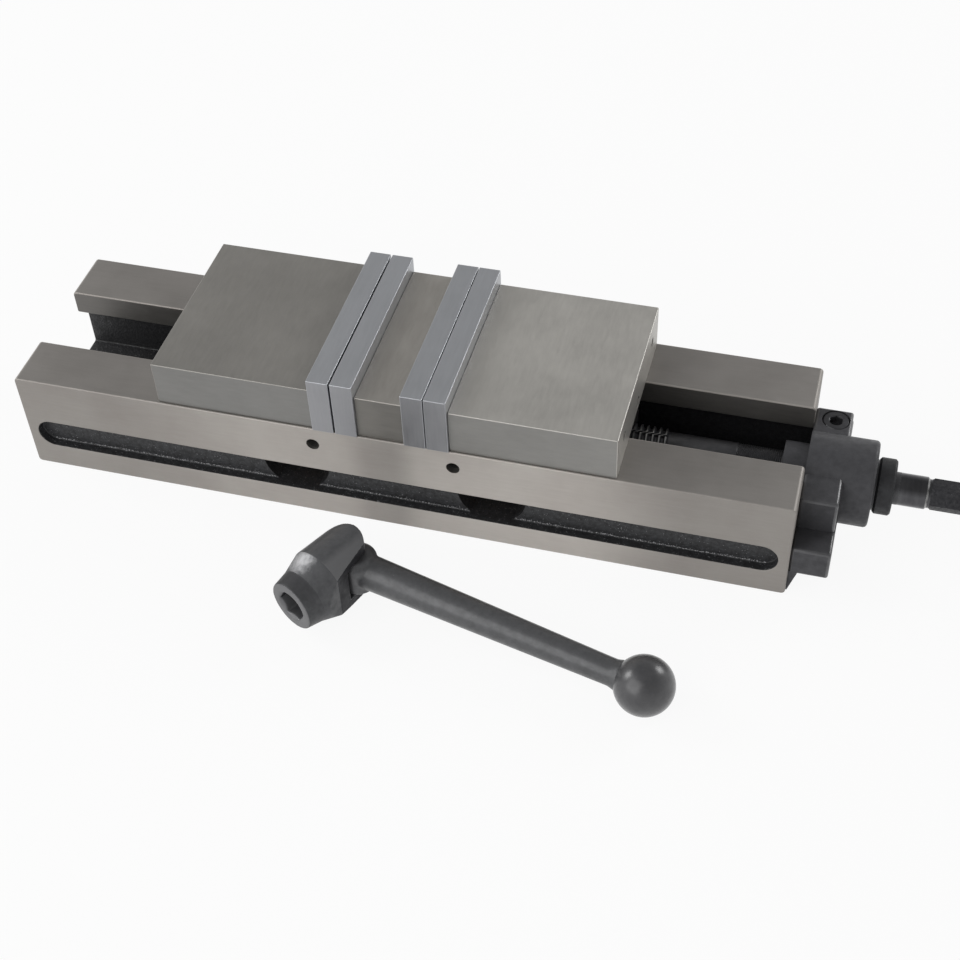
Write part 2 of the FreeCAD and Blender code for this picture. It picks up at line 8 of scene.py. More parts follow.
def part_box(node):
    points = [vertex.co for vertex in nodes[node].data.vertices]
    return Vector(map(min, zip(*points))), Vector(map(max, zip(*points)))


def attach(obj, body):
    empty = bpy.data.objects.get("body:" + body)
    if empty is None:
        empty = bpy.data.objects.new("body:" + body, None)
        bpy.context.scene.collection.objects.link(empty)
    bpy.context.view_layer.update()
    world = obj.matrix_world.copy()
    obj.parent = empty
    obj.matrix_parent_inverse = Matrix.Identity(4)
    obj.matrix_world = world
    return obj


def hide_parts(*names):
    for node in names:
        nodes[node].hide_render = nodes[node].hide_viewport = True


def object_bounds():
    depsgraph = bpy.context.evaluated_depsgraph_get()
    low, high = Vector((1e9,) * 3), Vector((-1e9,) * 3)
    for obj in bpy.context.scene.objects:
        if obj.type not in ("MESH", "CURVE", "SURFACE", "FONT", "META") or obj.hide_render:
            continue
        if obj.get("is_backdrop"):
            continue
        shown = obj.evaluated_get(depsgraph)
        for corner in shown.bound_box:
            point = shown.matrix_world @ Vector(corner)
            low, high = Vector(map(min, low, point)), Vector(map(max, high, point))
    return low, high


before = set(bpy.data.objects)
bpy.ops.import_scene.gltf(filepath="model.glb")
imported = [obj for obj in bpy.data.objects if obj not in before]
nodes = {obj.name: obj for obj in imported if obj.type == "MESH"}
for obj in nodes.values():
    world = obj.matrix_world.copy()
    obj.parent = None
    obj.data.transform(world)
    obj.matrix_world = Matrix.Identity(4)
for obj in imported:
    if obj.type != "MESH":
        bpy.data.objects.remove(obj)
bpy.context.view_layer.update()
scene = bpy.context.scene
scene.view_settings.view_transform = "Standard"


# Viewpoint: the camera stands to the right of the vise's front and looks down over the loose handle,
# as fitted to the edges of the bed, the plates and the jaws.
MM = 0.001
camera_place = Vector((214.4, -578.6, 614.8)) * MM
camera_tilt, camera_roll, camera_heading = 44.048, 1.982, 15.287
lens_for_36_mm_film = 61.52

camera_data = bpy.data.cameras.new("camera")
camera_data.lens = lens_for_36_mm_film
camera_data.sensor_width = 36
camera_data.clip_start = 0.01
camera_data.clip_end = 50
camera = bpy.data.objects.new("camera", camera_data)
camera.location = camera_place
camera.rotation_euler = [math.radians(angle) for angle in (camera_tilt, camera_roll, camera_heading)]
scene.collection.objects.link(camera)
scene.camera = camera


# Floor and light: a pale sheet under the vise, a broad soft lamp to the front left, two small ones to the
# left and the rear right and a pale room that is darker overhead, so that ground tops read darker than
# the front faces.
def shader_node(tree, kind, inputs=None, **settings):
    """One node; an input is given as a socket of another node or as a value."""
    made = tree.nodes.new(kind)
    for name, value in settings.items():
        setattr(made, name, value)
    for name, value in (inputs or {}).items():
        if isinstance(value, bpy.types.NodeSocket):
            tree.links.new(value, made.inputs[name])
        else:
            made.inputs[name].default_value = value
    return made


def worked_out(tree, operation, *given):
    """The result of one step of arithmetic."""
    return shader_node(tree, "ShaderNodeMath", dict(enumerate(given)), operation=operation).outputs[0]


def ranged(tree, value, low, high, to_low=0.0, to_high=1.0, **settings):
    """A value carried over from one range to another."""
    inputs = {"Value": value, "From Min": low, "From Max": high, "To Min": to_low, "To Max": to_high}
    return shader_node(tree, "ShaderNodeMapRange", inputs, **settings).outputs[0]


def axis_of(tree, vector, axis):
    return shader_node(tree, "ShaderNodeSeparateXYZ", {0: vector}).outputs[axis]


floor_half_size = 6.0
floor_colour = (0.66, 0.66, 0.657, 1)
floor_whiteness = 0.92
floor_mesh = bpy.data.meshes.new("floor")
corners = [(x * floor_half_size, y * floor_half_size, 0) for x, y in ((-1, -1), (1, -1), (1, 1), (-1, 1))]
floor_mesh.from_pydata(corners, [], [(0, 1, 2, 3)])
floor = bpy.data.objects.new("floor", floor_mesh)
scene.collection.objects.link(floor)
floor_material = bpy.data.materials.new("pale_floor")
floor_material.use_nodes = True
sheet = floor_material.node_tree
sheet.nodes.clear()
paper = shader_node(sheet, "ShaderNodeBsdfDiffuse", {"Color": floor_colour})
white = shader_node(sheet, "ShaderNodeEmission", {"Color": (1, 1, 1, 1), "Strength": 1.0})
path = shader_node(sheet, "ShaderNodeLightPath").outputs
mirrored = worked_out(sheet, "MAXIMUM", path["Is Glossy Ray"], path["Is Transmission Ray"])
looked_at = worked_out(sheet, "MAXIMUM", path["Is Camera Ray"], mirrored)
share = worked_out(sheet, "MULTIPLY", looked_at, floor_whiteness)
both = shader_node(sheet, "ShaderNodeMixShader", {0: share, 1: paper.outputs[0], 2: white.outputs[0]})
shader_node(sheet, "ShaderNodeOutputMaterial", {"Surface": both.outputs[0]})
floor_mesh.materials.append(floor_material)
floor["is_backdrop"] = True

zenith_strength, horizon_strength = 0.34, 0.95
zenith_height, horizon_height = 0.75, 0.05
world = bpy.data.worlds.new("pale_room")
scene.world = world
world.use_nodes = True
room = world.node_tree
room.nodes.clear()
height = axis_of(room, shader_node(room, "ShaderNodeTexCoord").outputs["Generated"], "Z")
strength = ranged(room, height, horizon_height, zenith_height, horizon_strength, zenith_strength)
lit = shader_node(room, "ShaderNodeBackground", {"Color": (1, 1, 1, 1), "Strength": strength})
shader_node(room, "ShaderNodeOutputWorld", {0: lit.outputs[0]})


def soft_lamp(name, place, target, size, power):
    """A square lamp that faces a point of the vise."""
    data = bpy.data.lights.new(name, "AREA")
    data.size = size
    data.energy = power
    lamp = bpy.data.objects.new(name, data)
    lamp.location = place
    lamp.rotation_euler = (Vector(target) - Vector(place)).to_track_quat("-Z", "Y").to_euler()
    scene.collection.objects.link(lamp)


soft_lamp("front_left_lamp", (-0.9, -1.3, 1.1), (0, 0, 0.05), size=1.7, power=18)
soft_lamp("left_lamp", (-1.73, 0.09, 1.15), (0, 0, 0.05), size=0.75, power=14)
soft_lamp("rear_right_lamp", (1.37, 1.34, 1.09), (0.1, 0, 0.05), size=0.7, power=12)


# Bed: one iron casting, ground bright on its outside, with two rails over a channel for the screw, a
# clamp groove along each flank and two cored windows behind it; the hollows keep their dark cast skin,
# painted darker still as shade in the channel, the windows and the groove's floor.
def piece_from(bm, name):
    """Turns a bmesh into an object of the scene."""
    mesh = bpy.data.meshes.new(name)
    bm.normal_update()
    bm.to_mesh(mesh)
    bm.free()
    made = bpy.data.objects.new(name, mesh)
    scene.collection.objects.link(made)
    return made


def block(low, high, name="tool"):
    """A box between two corners."""
    low, high = Vector(low), Vector(high)
    bm = bmesh.new()
    bmesh.ops.create_cube(bm, size=1)
    size = Matrix.Diagonal((*(high - low), 1))
    bmesh.ops.transform(bm, matrix=Matrix.Translation((low + high) / 2) @ size, verts=bm.verts)
    return piece_from(bm, name)


def standing(place, along):
    """Where something made along Z goes, to start at a place and stand along a line."""
    return Matrix.Translation(place) @ Vector(along).to_track_quat("Z", "Y").to_matrix().to_4x4()


def bar(radius, start, end, sides=64, end_radius=None, turn=0.0):
    """A round or many-sided bar, or a cone, between two points."""
    start, end = Vector(start), Vector(end)
    along = end - start
    bm = bmesh.new()
    bmesh.ops.create_cone(bm, cap_ends=True, segments=sides, radius1=radius, depth=along.length,
                          radius2=radius if end_radius is None else end_radius)
    spin = Matrix.Rotation(turn, 4, "Z")
    bmesh.ops.transform(bm, matrix=standing((start + end) / 2, along) @ spin, verts=bm.verts)
    return piece_from(bm, "tool")


def prism(outline, along, name="tool"):
    """A flat outline pushed along a vector."""
    bm = bmesh.new()
    face = bm.faces.new([bm.verts.new(point) for point in outline])
    pushed = bmesh.ops.extrude_face_region(bm, geom=[face])
    moved = [v for v in pushed["geom"] if isinstance(v, bmesh.types.BMVert)]
    bmesh.ops.translate(bm, verts=moved, vec=along)
    bmesh.ops.recalc_face_normals(bm, faces=bm.faces)
    return piece_from(bm, name)


def applied(piece):
    """Makes the piece's modifiers part of its mesh."""
    bpy.context.view_layer.update()
    finished = piece.evaluated_get(bpy.context.evaluated_depsgraph_get())
    mesh = bpy.data.meshes.new_from_object(finished)
    piece.modifiers.clear()
    piece.data = mesh
    return piece


def shaped(piece, tools, how="DIFFERENCE"):
    """Cuts the tools out of the piece, or joins them to it, and removes them."""
    for tool in tools:
        step = piece.modifiers.new("step", "BOOLEAN")
        step.operation = how
        step.solver = "EXACT"
        step.object = tool
        applied(piece)
        bpy.data.objects.remove(tool)
    return piece


def smooth_shaded(piece):
    for face in piece.data.polygons:
        face.use_smooth = True


def softened(piece, width, segments=2, angle=35.0, edge_material=0):
    """Breaks every sharp edge, as a stone or a belt does, and shades the rest smooth."""
    weld = piece.modifiers.new("weld", "WELD")
    weld.merge_threshold = 0.002 * MM
    step = piece.modifiers.new("edges", "BEVEL")
    step.width = width
    step.segments = segments
    step.limit_method = "ANGLE"
    step.angle_limit = math.radians(angle)
    step.harden_normals = True
    step.miter_outer = "MITER_ARC"
    step.material = edge_material
    smooth_shaded(piece)
    return applied(piece)


def dressed(piece, body, slot_name, replaced, *materials):
    """Puts the piece on its body with its materials, in place of the construction's plain solids."""
    piece.data.materials.clear()
    for each in materials:
        piece.data.materials.append(each)
    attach(piece, body)
    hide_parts(*replaced)


def effect(name, inputs):
    """A node group for a surface; gives the group, what it is given and where its results go."""
    tree = bpy.data.node_groups.new(name, "ShaderNodeTree")
    results = {"Colour": "Color", "Roughness": "Float", "Height": "Float"}
    for in_out, sockets in (("INPUT", inputs), ("OUTPUT", results)):
        for socket, kind in sockets.items():
            tree.interface.new_socket(socket, in_out=in_out, socket_type="NodeSocket" + kind)
    return tree, tree.nodes.new("NodeGroupInput").outputs, tree.nodes.new("NodeGroupOutput").inputs


def object_place(tree):
    return shader_node(tree, "ShaderNodeTexCoord").outputs["Object"]


def cloudy(tree, place, scale, detail, roughness):
    """A soft random field."""
    inputs = {"Vector": place, "Scale": scale, "Detail": detail, "Roughness": roughness}
    return shader_node(tree, "ShaderNodeTexNoise", inputs).outputs[0]


def mixed(tree, share, first, second):
    """Two colours, blended by a share."""
    return shader_node(tree, "ShaderNodeMix", {0: share, 6: first, 7: second}, data_type="RGBA").outputs[2]


# Ground grain: long fine scratches left by the wheel, over cloudy stains of handling and coolant.
grain_group, given, result = effect("ground_grain", {
    "Stretch": "Vector", "Light": "Color", "Dark": "Color", "Smooth": "Float", "Rough": "Float",
    "Stain Size": "Float", "Stain Share": "Float"})
place = object_place(grain_group)
stretched = shader_node(
    grain_group, "ShaderNodeVectorMath", {0: place, 1: given["Stretch"]}, operation="MULTIPLY")
scratches = cloudy(grain_group, stretched.outputs[0], 60.0, 4.0, 0.65)
stains = cloudy(grain_group, place, given["Stain Size"], 5.0, 0.6)
layers = {0: given["Stain Share"], 2: scratches, 3: stains}
both = shader_node(grain_group, "ShaderNodeMix", layers).outputs[0]
colour = mixed(grain_group, ranged(grain_group, both, 0.36, 0.64), given["Dark"], given["Light"])
gloss = ranged(grain_group, both, 0.35, 0.65, given["Smooth"], given["Rough"])
grain_group.links.new(colour, result["Colour"])
grain_group.links.new(gloss, result["Roughness"])
grain_group.links.new(scratches, result["Height"])

# Cast skin: the lumpy face that sand leaves, with pale specks where grains of it broke out.
skin_group, given, result = effect("cast_skin", {
    "Lump Size": "Float", "Light": "Color", "Dark": "Color", "Speck": "Color", "Speck Share": "Float",
    "Smooth": "Float", "Rough": "Float"})
place = object_place(skin_group)
lumps = cloudy(skin_group, place, given["Lump Size"], 5.0, 0.6)
grains = shader_node(skin_group, "ShaderNodeTexVoronoi", {"Vector": place, "Scale": 900.0})
relief = worked_out(skin_group, "MULTIPLY_ADD", lumps, grains.outputs["Distance"], 0.2)
colour = mixed(skin_group, ranged(skin_group, lumps, 0.35, 0.7), given["Dark"], given["Light"])
fine = cloudy(skin_group, place, 1300.0, 2.0, 0.5)
speck = worked_out(skin_group, "GREATER_THAN", fine, given["Speck Share"])
gloss = ranged(skin_group, lumps, 0.3, 0.7, given["Rough"], given["Smooth"])
skin_group.links.new(mixed(skin_group, speck, colour, given["Speck"]), result["Colour"])
skin_group.links.new(gloss, result["Roughness"])
skin_group.links.new(relief, result["Height"])


def surfaced(name, group, values, metallic, bump_mm=0.0, specular=0.5):
    """A material whose colour, roughness and relief come from an effect."""
    made = bpy.data.materials.new(name)
    made.use_nodes = True
    tree = made.node_tree
    shader = tree.nodes["Principled BSDF"]
    shader.inputs["Metallic"].default_value = metallic
    shader.inputs["Specular IOR Level"].default_value = specular
    look = shader_node(tree, "ShaderNodeGroup", values, node_tree=group)
    tree.links.new(look.outputs["Colour"], shader.inputs["Base Color"])
    tree.links.new(look.outputs["Roughness"], shader.inputs["Roughness"])
    if bump_mm:
        bump = shader_node(tree, "ShaderNodeBump", {
            "Height": look.outputs["Height"], "Distance": bump_mm * MM, "Strength": 1.0})
        tree.links.new(bump.outputs[0], shader.inputs["Normal"])
    return made


def ground_metal(name, light, dark, stretch, smooth=0.34, rough=0.5, metallic=0.8, stain_size=30.0,
                 bump_mm=0.015, stain_share=0.55):
    return surfaced(name, grain_group, {
        "Stretch": stretch, "Light": (*light, 1), "Dark": (*dark, 1), "Smooth": smooth, "Rough": rough,
        "Stain Size": stain_size, "Stain Share": stain_share}, metallic, bump_mm)


def cast_metal(name, light, dark, speck, speck_share, lump_size=400.0, metallic=0.0, bump_mm=0.3, smooth=0.45,
               rough=0.7, specular=0.5):
    return surfaced(name, skin_group, {
        "Lump Size": lump_size, "Light": (*light, 1), "Dark": (*dark, 1), "Speck": (*speck, 1),
        "Speck Share": speck_share, "Smooth": smooth, "Rough": rough}, metallic, bump_mm, specular)


def look_of(made):
    """The effect that a material's surface comes from."""
    return next(each for each in made.node_tree.nodes if each.type == "GROUP")


def recoloured(made, colour):
    """Gives a surface a colour that was worked out from its effect's own."""
    made.node_tree.links.new(colour, made.node_tree.nodes["Principled BSDF"].inputs["Base Color"])
    return made


def more_specks_low(made, low_z, high_z, low_share):
    """Lets the pale specks crowd where sand sat in the lower corner of a hollow."""
    tree = made.node_tree
    share_socket = look_of(made).inputs["Speck Share"]
    height = axis_of(tree, object_place(tree), "Z")
    tree.links.new(ranged(tree, height, low_z, high_z, low_share, share_socket.default_value), share_socket)


bed_low, bed_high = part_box("bed_casting")
slot_half = 20.25 * MM
cavity_half = 29.2 * MM
lip = 13.6 * MM
channel_floor = 17.3 * MM
groove_low, groove_high = 14.2 * MM, 30.6 * MM
groove_depth = 5.0 * MM
groove_end = 5.4 * MM
window_radius = 17.4 * MM
window_half_spacing = 51.15 * MM
window_height = 27.7 * MM
window_run_in = 3.0 * MM
stop_hole_radius = 3.4 * MM
stop_hole_x = 36.0 * MM
stop_hole_z = 48.3 * MM
stop_hole_depth = 14.0 * MM
key_pocket_x = 145.0 * MM
key_pocket_half_length, key_pocket_half_width, key_pocket_depth = 15.0 * MM, 8.0 * MM, 5.0 * MM
beyond = 5.0 * MM

end_corner, bed_edge = 2.0 * MM, 0.7 * MM
outline = []
for x, z, first in ((bed_high.x, bed_high.z, 0), (bed_low.x, bed_high.z, 90),
                    (bed_low.x, bed_low.z, 180), (bed_high.x, bed_low.z, 270)):
    middle_z = z - end_corner if z > end_corner else end_corner
    middle = Vector((x - math.copysign(end_corner, x), bed_low.y, middle_z))
    for angle in range(first, first + 91, 15):
        turn = math.radians(angle)
        outline.append(middle + end_corner * Vector((math.cos(turn), 0, math.sin(turn))))
bed = prism(outline, (0, bed_high.y - bed_low.y, 0), "bed")
tools = [
    block((bed_low.x - beyond, -slot_half, channel_floor + MM),
          (bed_high.x + beyond, slot_half, bed_high.z + beyond)),
    block((bed_low.x - beyond, -cavity_half, channel_floor),
          (bed_high.x + beyond, cavity_half, bed_high.z - lip))]
groove_radius = (groove_high - groove_low) / 2
groove_middle = (groove_high + groove_low) / 2
groove_ends = (bed_low.x + groove_end + groove_radius, bed_high.x - groove_end - groove_radius)
groove_arc_steps = 24
for side in (-1, 1):
    back = side * (bed_high.y - groove_depth)
    outside = side * (bed_high.y + beyond)
    outline = []
    for end, first in zip(groove_ends, (90, 270)):
        for step in range(groove_arc_steps + 1):
            angle = math.radians(first + 180 * step / groove_arc_steps)
            x, z = groove_radius * math.cos(angle), groove_radius * math.sin(angle)
            outline.append((end + x, back, groove_middle + z))
    tools.append(prism(outline, (0, outside - back, 0)))
shaped(bed, tools)
softened(bed, bed_edge, edge_material=2)
tools = []
bed_middle = (bed_low.x + bed_high.x) / 2
for side in (-1, 1):
    for x in (bed_middle - window_half_spacing, bed_middle + window_half_spacing):
        near = side * (cavity_half - window_run_in)
        far = side * (bed_high.y - groove_depth / 2)
        window = bar(window_radius, (x, near, window_height), (x, far, window_height))
        band = block((x - 2 * window_radius, min(near, far), groove_low),
                     (x + 2 * window_radius, max(near, far), groove_high))
        tools.append(shaped(window, [band], "INTERSECT"))
    for x in (-stop_hole_x, stop_hole_x):
        mouth = (x, side * (bed_high.y + beyond), stop_hole_z)
        bottom = (x, side * (bed_high.y - stop_hole_depth), stop_hole_z)
        tools.append(bar(stop_hole_radius, mouth, bottom, sides=32))
for x in (-key_pocket_x, key_pocket_x):
    tools.append(block((x - key_pocket_half_length, -key_pocket_half_width, -beyond),
                       (x + key_pocket_half_length, key_pocket_half_width, key_pocket_depth)))
shaped(bed, tools)

along_x, all_ways = (1.0, 14.0, 14.0), (3.0, 3.0, 3.0)
flank_iron = ground_metal(
    "ground_iron_painted_sheen", (0.345, 0.325, 0.302), (0.285, 0.262, 0.243), along_x, 0.42, 0.56, 0.45, 24.0,
    stain_share=0.72)
# Painted shade: the rail tops get a darker copy of the ground iron than the flanks.
rail_top_painted_shade_iron = ground_metal(
    "rail_top_painted_shade_iron", (0.245, 0.232, 0.218), (0.205, 0.193, 0.18), along_x, 0.40, 0.54, 0.6, 24.0,
    stain_share=0.72)
# Painted shade: the walls of the slot between the rails get a darker copy of the ground iron.
slot_wall_painted_shade_iron = ground_metal(
    "slot_wall_painted_shade_iron", (0.18, 0.172, 0.162), (0.14, 0.134, 0.126), along_x, metallic=0.7)
tapped_wall = ground_metal(
    "tapped_wall", (0.20, 0.19, 0.175), (0.035, 0.033, 0.03), (1.0, 30.0, 1.0), metallic=0.5)
# Broken edges get a brighter, smoother copy of the ground iron: the bare metal of the broken edge, and a
# painted highlight along it.
bright_edge = ground_metal("broken_edge_painted_highlight", (0.52, 0.51, 0.49), (0.42, 0.41, 0.39), all_ways, 0.25, 0.4, 1.0)
groove_skin = cast_metal(
    "groove_cast_skin", (0.033, 0.034, 0.037), (0.012, 0.012, 0.013), (0.28, 0.28, 0.29), 0.70)
more_specks_low(groove_skin, 14.6 * MM, 15.9 * MM, 0.53)
# Painted shade: the groove's floor, under the groove's upper edge, gets a darker copy of the groove's cast
# skin with dimmer specks.
groove_floor_painted_shade_skin = cast_metal(
    "groove_floor_painted_shade_skin", (0.026, 0.027, 0.029), (0.008, 0.008, 0.009), (0.16, 0.16, 0.165), 0.68)
# Painted shade: the channel and the cored windows get a much darker copy of the cast skin, for the shade deep
# inside the bed.
channel_painted_shade_skin = cast_metal(
    "channel_cast_skin_painted_shade", (0.020, 0.020, 0.022), (0.007, 0.007, 0.008), (0.09, 0.09, 0.09), 0.75)
more_specks_low(channel_painted_shade_skin, 17.4 * MM, 20.5 * MM, 0.66)
iron_tree = flank_iron.node_tree
along_bed = axis_of(iron_tree, object_place(iron_tree), "X")


def zone_along_bed(centre, full, none, peak):
    """Peaks around a place along the bed and fades to nothing away from it."""
    away = worked_out(iron_tree, "ABSOLUTE", worked_out(iron_tree, "ADD", along_bed, -centre))
    return ranged(iron_tree, away, full, none, peak, 0.0, interpolation_type="SMOOTHSTEP")


# Painted reflection: the ground iron's colour is scaled from 0.89 up to 1.48 in broad bands left and right of
# the middle, less in a strip at the middle, as a broad reflection across the bed.
left_painted_sheen = zone_along_bed(-30 * MM, 12 * MM, 120 * MM, 0.65)
right_painted_sheen = zone_along_bed(62 * MM, 25 * MM, 95 * MM, 1.0)
painted_sheen_gap = zone_along_bed(0.0, 6 * MM, 20 * MM, 0.36)
painted_sheen_share = worked_out(iron_tree, "MAXIMUM", left_painted_sheen, right_painted_sheen)
left_over = worked_out(iron_tree, "SUBTRACT", painted_sheen_share, painted_sheen_gap)
sheen_painted_flank = shader_node(iron_tree, "ShaderNodeVectorMath", {
    0: look_of(flank_iron).outputs["Colour"], "Scale": ranged(iron_tree, left_over, 0.0, 1.0, 0.89, 1.48)},
    operation="SCALE")
recoloured(flank_iron, sheen_painted_flank.outputs[0])
dressed(bed, "bed", "bed_iron", ["bed_casting"], flank_iron, channel_painted_shade_skin, bright_edge, groove_skin,
        slot_wall_painted_shade_iron, groove_floor_painted_shade_skin, tapped_wall, rail_top_painted_shade_iron)
channel, groove, slot_wall, groove_floor, hole, rail_top = 1, 3, 4, 5, 6, 7
inside = 0.3 * MM
slot_top = bed_high.z - 1.5 * MM
# Faces in the channel, the windows, the groove's floor, the slot walls and on the rail tops take the darker
# copies that paint shade on them.
for face in bed.data.polygons:
    x, y, z = face.center.x, abs(face.center.y), face.center.z
    in_groove_height = groove_low - inside < z < groove_high + inside
    in_groove = bed_high.y - groove_depth - inside < y < bed_high.y - inside and in_groove_height
    in_window = y < bed_high.y - groove_depth and in_groove_height
    in_channel = y < cavity_half + inside and channel_floor - inside < z < bed_high.z - lip + inside
    in_slot = y < slot_half + inside and bed_high.z - lip - inside < z < slot_top
    off_ends = bed_low.x + inside < x < bed_high.x - inside
    if in_groove and off_ends:
        face.material_index = groove_floor if face.normal.z > 0.6 else groove
    elif (in_channel or in_window) and off_ends:
        face.material_index = channel
    elif in_slot and off_ends:
        face.material_index = slot_wall
    elif math.hypot(abs(x) - stop_hole_x, z - stop_hole_z) < stop_hole_radius + inside:
        face.material_index = hole
    elif face.normal.z > 0.99 and z > bed_high.z - inside:
        face.material_index = rail_top


# Ground plates: four hardened steel plates that stand on the rails, two on the centre jaw and one on each
# sliding jaw; each is held by two socket screws sunk below its working face.
def flanks_painted_shaded(piece):
    """Gives the faces that look to the front and the rear the third material, a darker copy of the steel that
    paints shade on them.
    """
    for face in piece.data.polygons:
        if abs(face.normal.y) > 0.99:
            face.material_index = 2


plate_edge = 0.4 * MM
plate_head_radius = 6.8 * MM
plate_clear_radius = 4.4 * MM
head_pocket_depth = 8.2 * MM
plate_screw_half_spacing = 30.0 * MM
plate_screw_z = 73.7 * MM

plate_steel = ground_metal(
    "ground_plate_steel", (0.405, 0.415, 0.436), (0.36, 0.37, 0.388), (16.0, 1.0, 16.0), 0.3, 0.42, 0.8, 22.0,
    0.006)
# Painted shade: the front and rear faces of the plates get a darker copy of the plate steel, ground across;
# the broken edges get a lighter copy, as a painted highlight.
plate_end_shaded = ground_metal(
    "ground_plate_end_painted_shade", (0.315, 0.317, 0.33), (0.275, 0.277, 0.29), (16.0, 16.0, 1.0), 0.34, 0.46, 0.8, 40.0,
    0.006)
plate_rim_highlight = ground_metal("plate_edge_painted_highlight", (0.50, 0.51, 0.53), (0.42, 0.43, 0.45), all_ways, 0.35, 0.5, 0.9)
for node, body, outward in (("centre_left_plate", "bed", -1), ("centre_right_plate", "bed", 1),
                            ("left_jaw_plate", "left_jaw", 1), ("right_jaw_plate", "right_jaw", -1)):
    low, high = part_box(node)
    front, back = (high.x, low.x) if outward > 0 else (low.x, high.x)
    plate = block(low, high, node + "_ground")
    seat = front - outward * head_pocket_depth
    holes = []
    for y in (-plate_screw_half_spacing, plate_screw_half_spacing):
        for radius, start, end in ((plate_head_radius, front + outward * MM, seat),
                                   (plate_clear_radius, seat + outward * MM, back - outward * MM)):
            holes.append(bar(radius, (start, y, plate_screw_z), (end, y, plate_screw_z), sides=48))
    softened(plate, plate_edge, edge_material=1)
    shaped(plate, holes)
    dressed(plate, body, "plate_steel", [node], plate_steel, plate_rim_highlight, plate_end_shaded)
    flanks_painted_shaded(plate)


# Jaws: steel blocks ground all over that stand on both rails; a keel between the rails guides each one,
# and the sliding jaws carry small tapped holes in their outer ends.
jaw_edge = 0.65 * MM
jaw_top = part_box("left_jaw_plate")[0].z + 24.8 * MM
rail_height = bed_high.z
keel_half = 20.2 * MM
keel_setback = 12.0 * MM
end_hole_radius = 2.5 * MM
end_hole_half_spacing = 34.1 * MM
end_hole_z = 73.1 * MM
end_hole_depth = 14.0 * MM
set_screw_z = 63.9 * MM
set_screw_radius = 3.0 * MM
set_screw_depth = 13.5 * MM

top_scratches, flank_scratches = (10.0, 1.5, 10.0), (2.0, 10.0, 10.0)
# Painted light and shade: the three jaws' tops are lighter and darker copies of one ground steel, lightest on
# the right jaw; their front and rear faces get darker copies still, and their broken edges a lighter one, as
# a painted highlight.
left_steel = ground_metal(
    "left_jaw_steel", (0.30, 0.289, 0.27), (0.262, 0.253, 0.236), top_scratches, 0.34, 0.48)
left_shaded_flank = ground_metal(
    "left_jaw_flank_painted_shade", (0.238, 0.235, 0.227), (0.20, 0.198, 0.19), flank_scratches, 0.38, 0.5)
right_steel = ground_metal(
    "right_jaw_steel", (0.50, 0.485, 0.455), (0.44, 0.427, 0.40), top_scratches, 0.36, 0.52)
right_shaded_flank = ground_metal(
    "right_jaw_flank_painted_shade", (0.31, 0.305, 0.292), (0.27, 0.265, 0.253), flank_scratches, 0.38, 0.5)
centre_steel = ground_metal(
    "centre_jaw_steel", (0.40, 0.382, 0.355), (0.335, 0.318, 0.293), (8.0, 1.5, 8.0), 0.4, 0.55)
centre_shaded_flank = ground_metal(
    "centre_jaw_flank_painted_shade", (0.225, 0.216, 0.20), (0.185, 0.178, 0.165), flank_scratches, 0.4, 0.55)
jaw_rim_highlight = ground_metal("jaw_edge_painted_highlight", (0.38, 0.37, 0.352), (0.31, 0.30, 0.287), all_ways, 0.32, 0.46, 1.0)
for node, outward, steel, flank in (
        ("left_jaw", -1, left_steel, left_shaded_flank), ("centre_jaw", 0, centre_steel, centre_shaded_flank),
        ("right_jaw", 1, right_steel, right_shaded_flank)):
    low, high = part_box(node)
    jaw = block((low.x, low.y, rail_height), (high.x, high.y, jaw_top), node + "_ground")
    keel_start = low.x + (keel_setback if outward < 0 else MM)
    keel_end = high.x - (keel_setback if outward > 0 else MM)
    shaped(jaw, [block((keel_start, -keel_half, low.z), (keel_end, keel_half, rail_height + MM))], "UNION")
    holes = []
    if outward:
        outer = high.x if outward > 0 else low.x
        for radius, y, z, depth in ((end_hole_radius, -end_hole_half_spacing, end_hole_z, end_hole_depth),
                                    (end_hole_radius, end_hole_half_spacing, end_hole_z, end_hole_depth),
                                    (set_screw_radius, 0, set_screw_z, set_screw_depth)):
            holes.append(bar(radius, (outer + outward * MM, y, z), (outer - outward * depth, y, z), sides=32))
    softened(jaw, jaw_edge, edge_material=1)
    shaped(jaw, holes)
    dressed(jaw, node if outward else "bed", "jaw_steel", [node], steel, jaw_rim_highlight, flank)
    flanks_painted_shaded(jaw)


# Lead screw: one turned bar with a right-hand thread on the left and a left-hand thread on the right, a
# shank, a fine thread, a polished journal and a driving hexagon; blackened, with bright thread crests.
axis_z = 33.75 * MM
pitch = 3.175 * MM
crest_radius = 10.95 * MM
root_radius = 9.25 * MM
shank_radius = 9.5 * MM
journal_radius = 8.0 * MM
fine_pitch = 1.0 * MM
fine_depth = 0.35 * MM
thread_ends = (32.5 * MM, 132.2 * MM)
fine_ends = (167.0 * MM, 188.5 * MM)
run_out = 0.5 * MM
shoulder_x = 206.0 * MM
polish_start, polish_end = 246.0 * MM, 259.8 * MM
polish_lead, polish_depth = 0.6 * MM, 0.02 * MM
hex_start = 261.0 * MM
hex_half_flats = 7.0 * MM
bar_edge = 0.9 * MM
sides = 48
crest_share, flank_share = 0.20, 0.28


def thread_rings(first, last, lead, crest, root, hand):
    """Rings along the helix, so that crests and flanks stay crisp; hand is 1 for a right-hand thread."""
    rings = []
    corners = ((0, crest), (crest_share, crest), (crest_share + flank_share, root), (1 - flank_share, root))
    for turn in range(-1, math.ceil((last - first) / lead) + 1):
        for share, radius in corners:
            ring = []
            for n in range(sides):
                x = first + lead * (turn + share + hand * n / sides)
                ring.append((min(max(x, first), last), radius if first < x < last else root))
            rings.append(ring)
    return rings


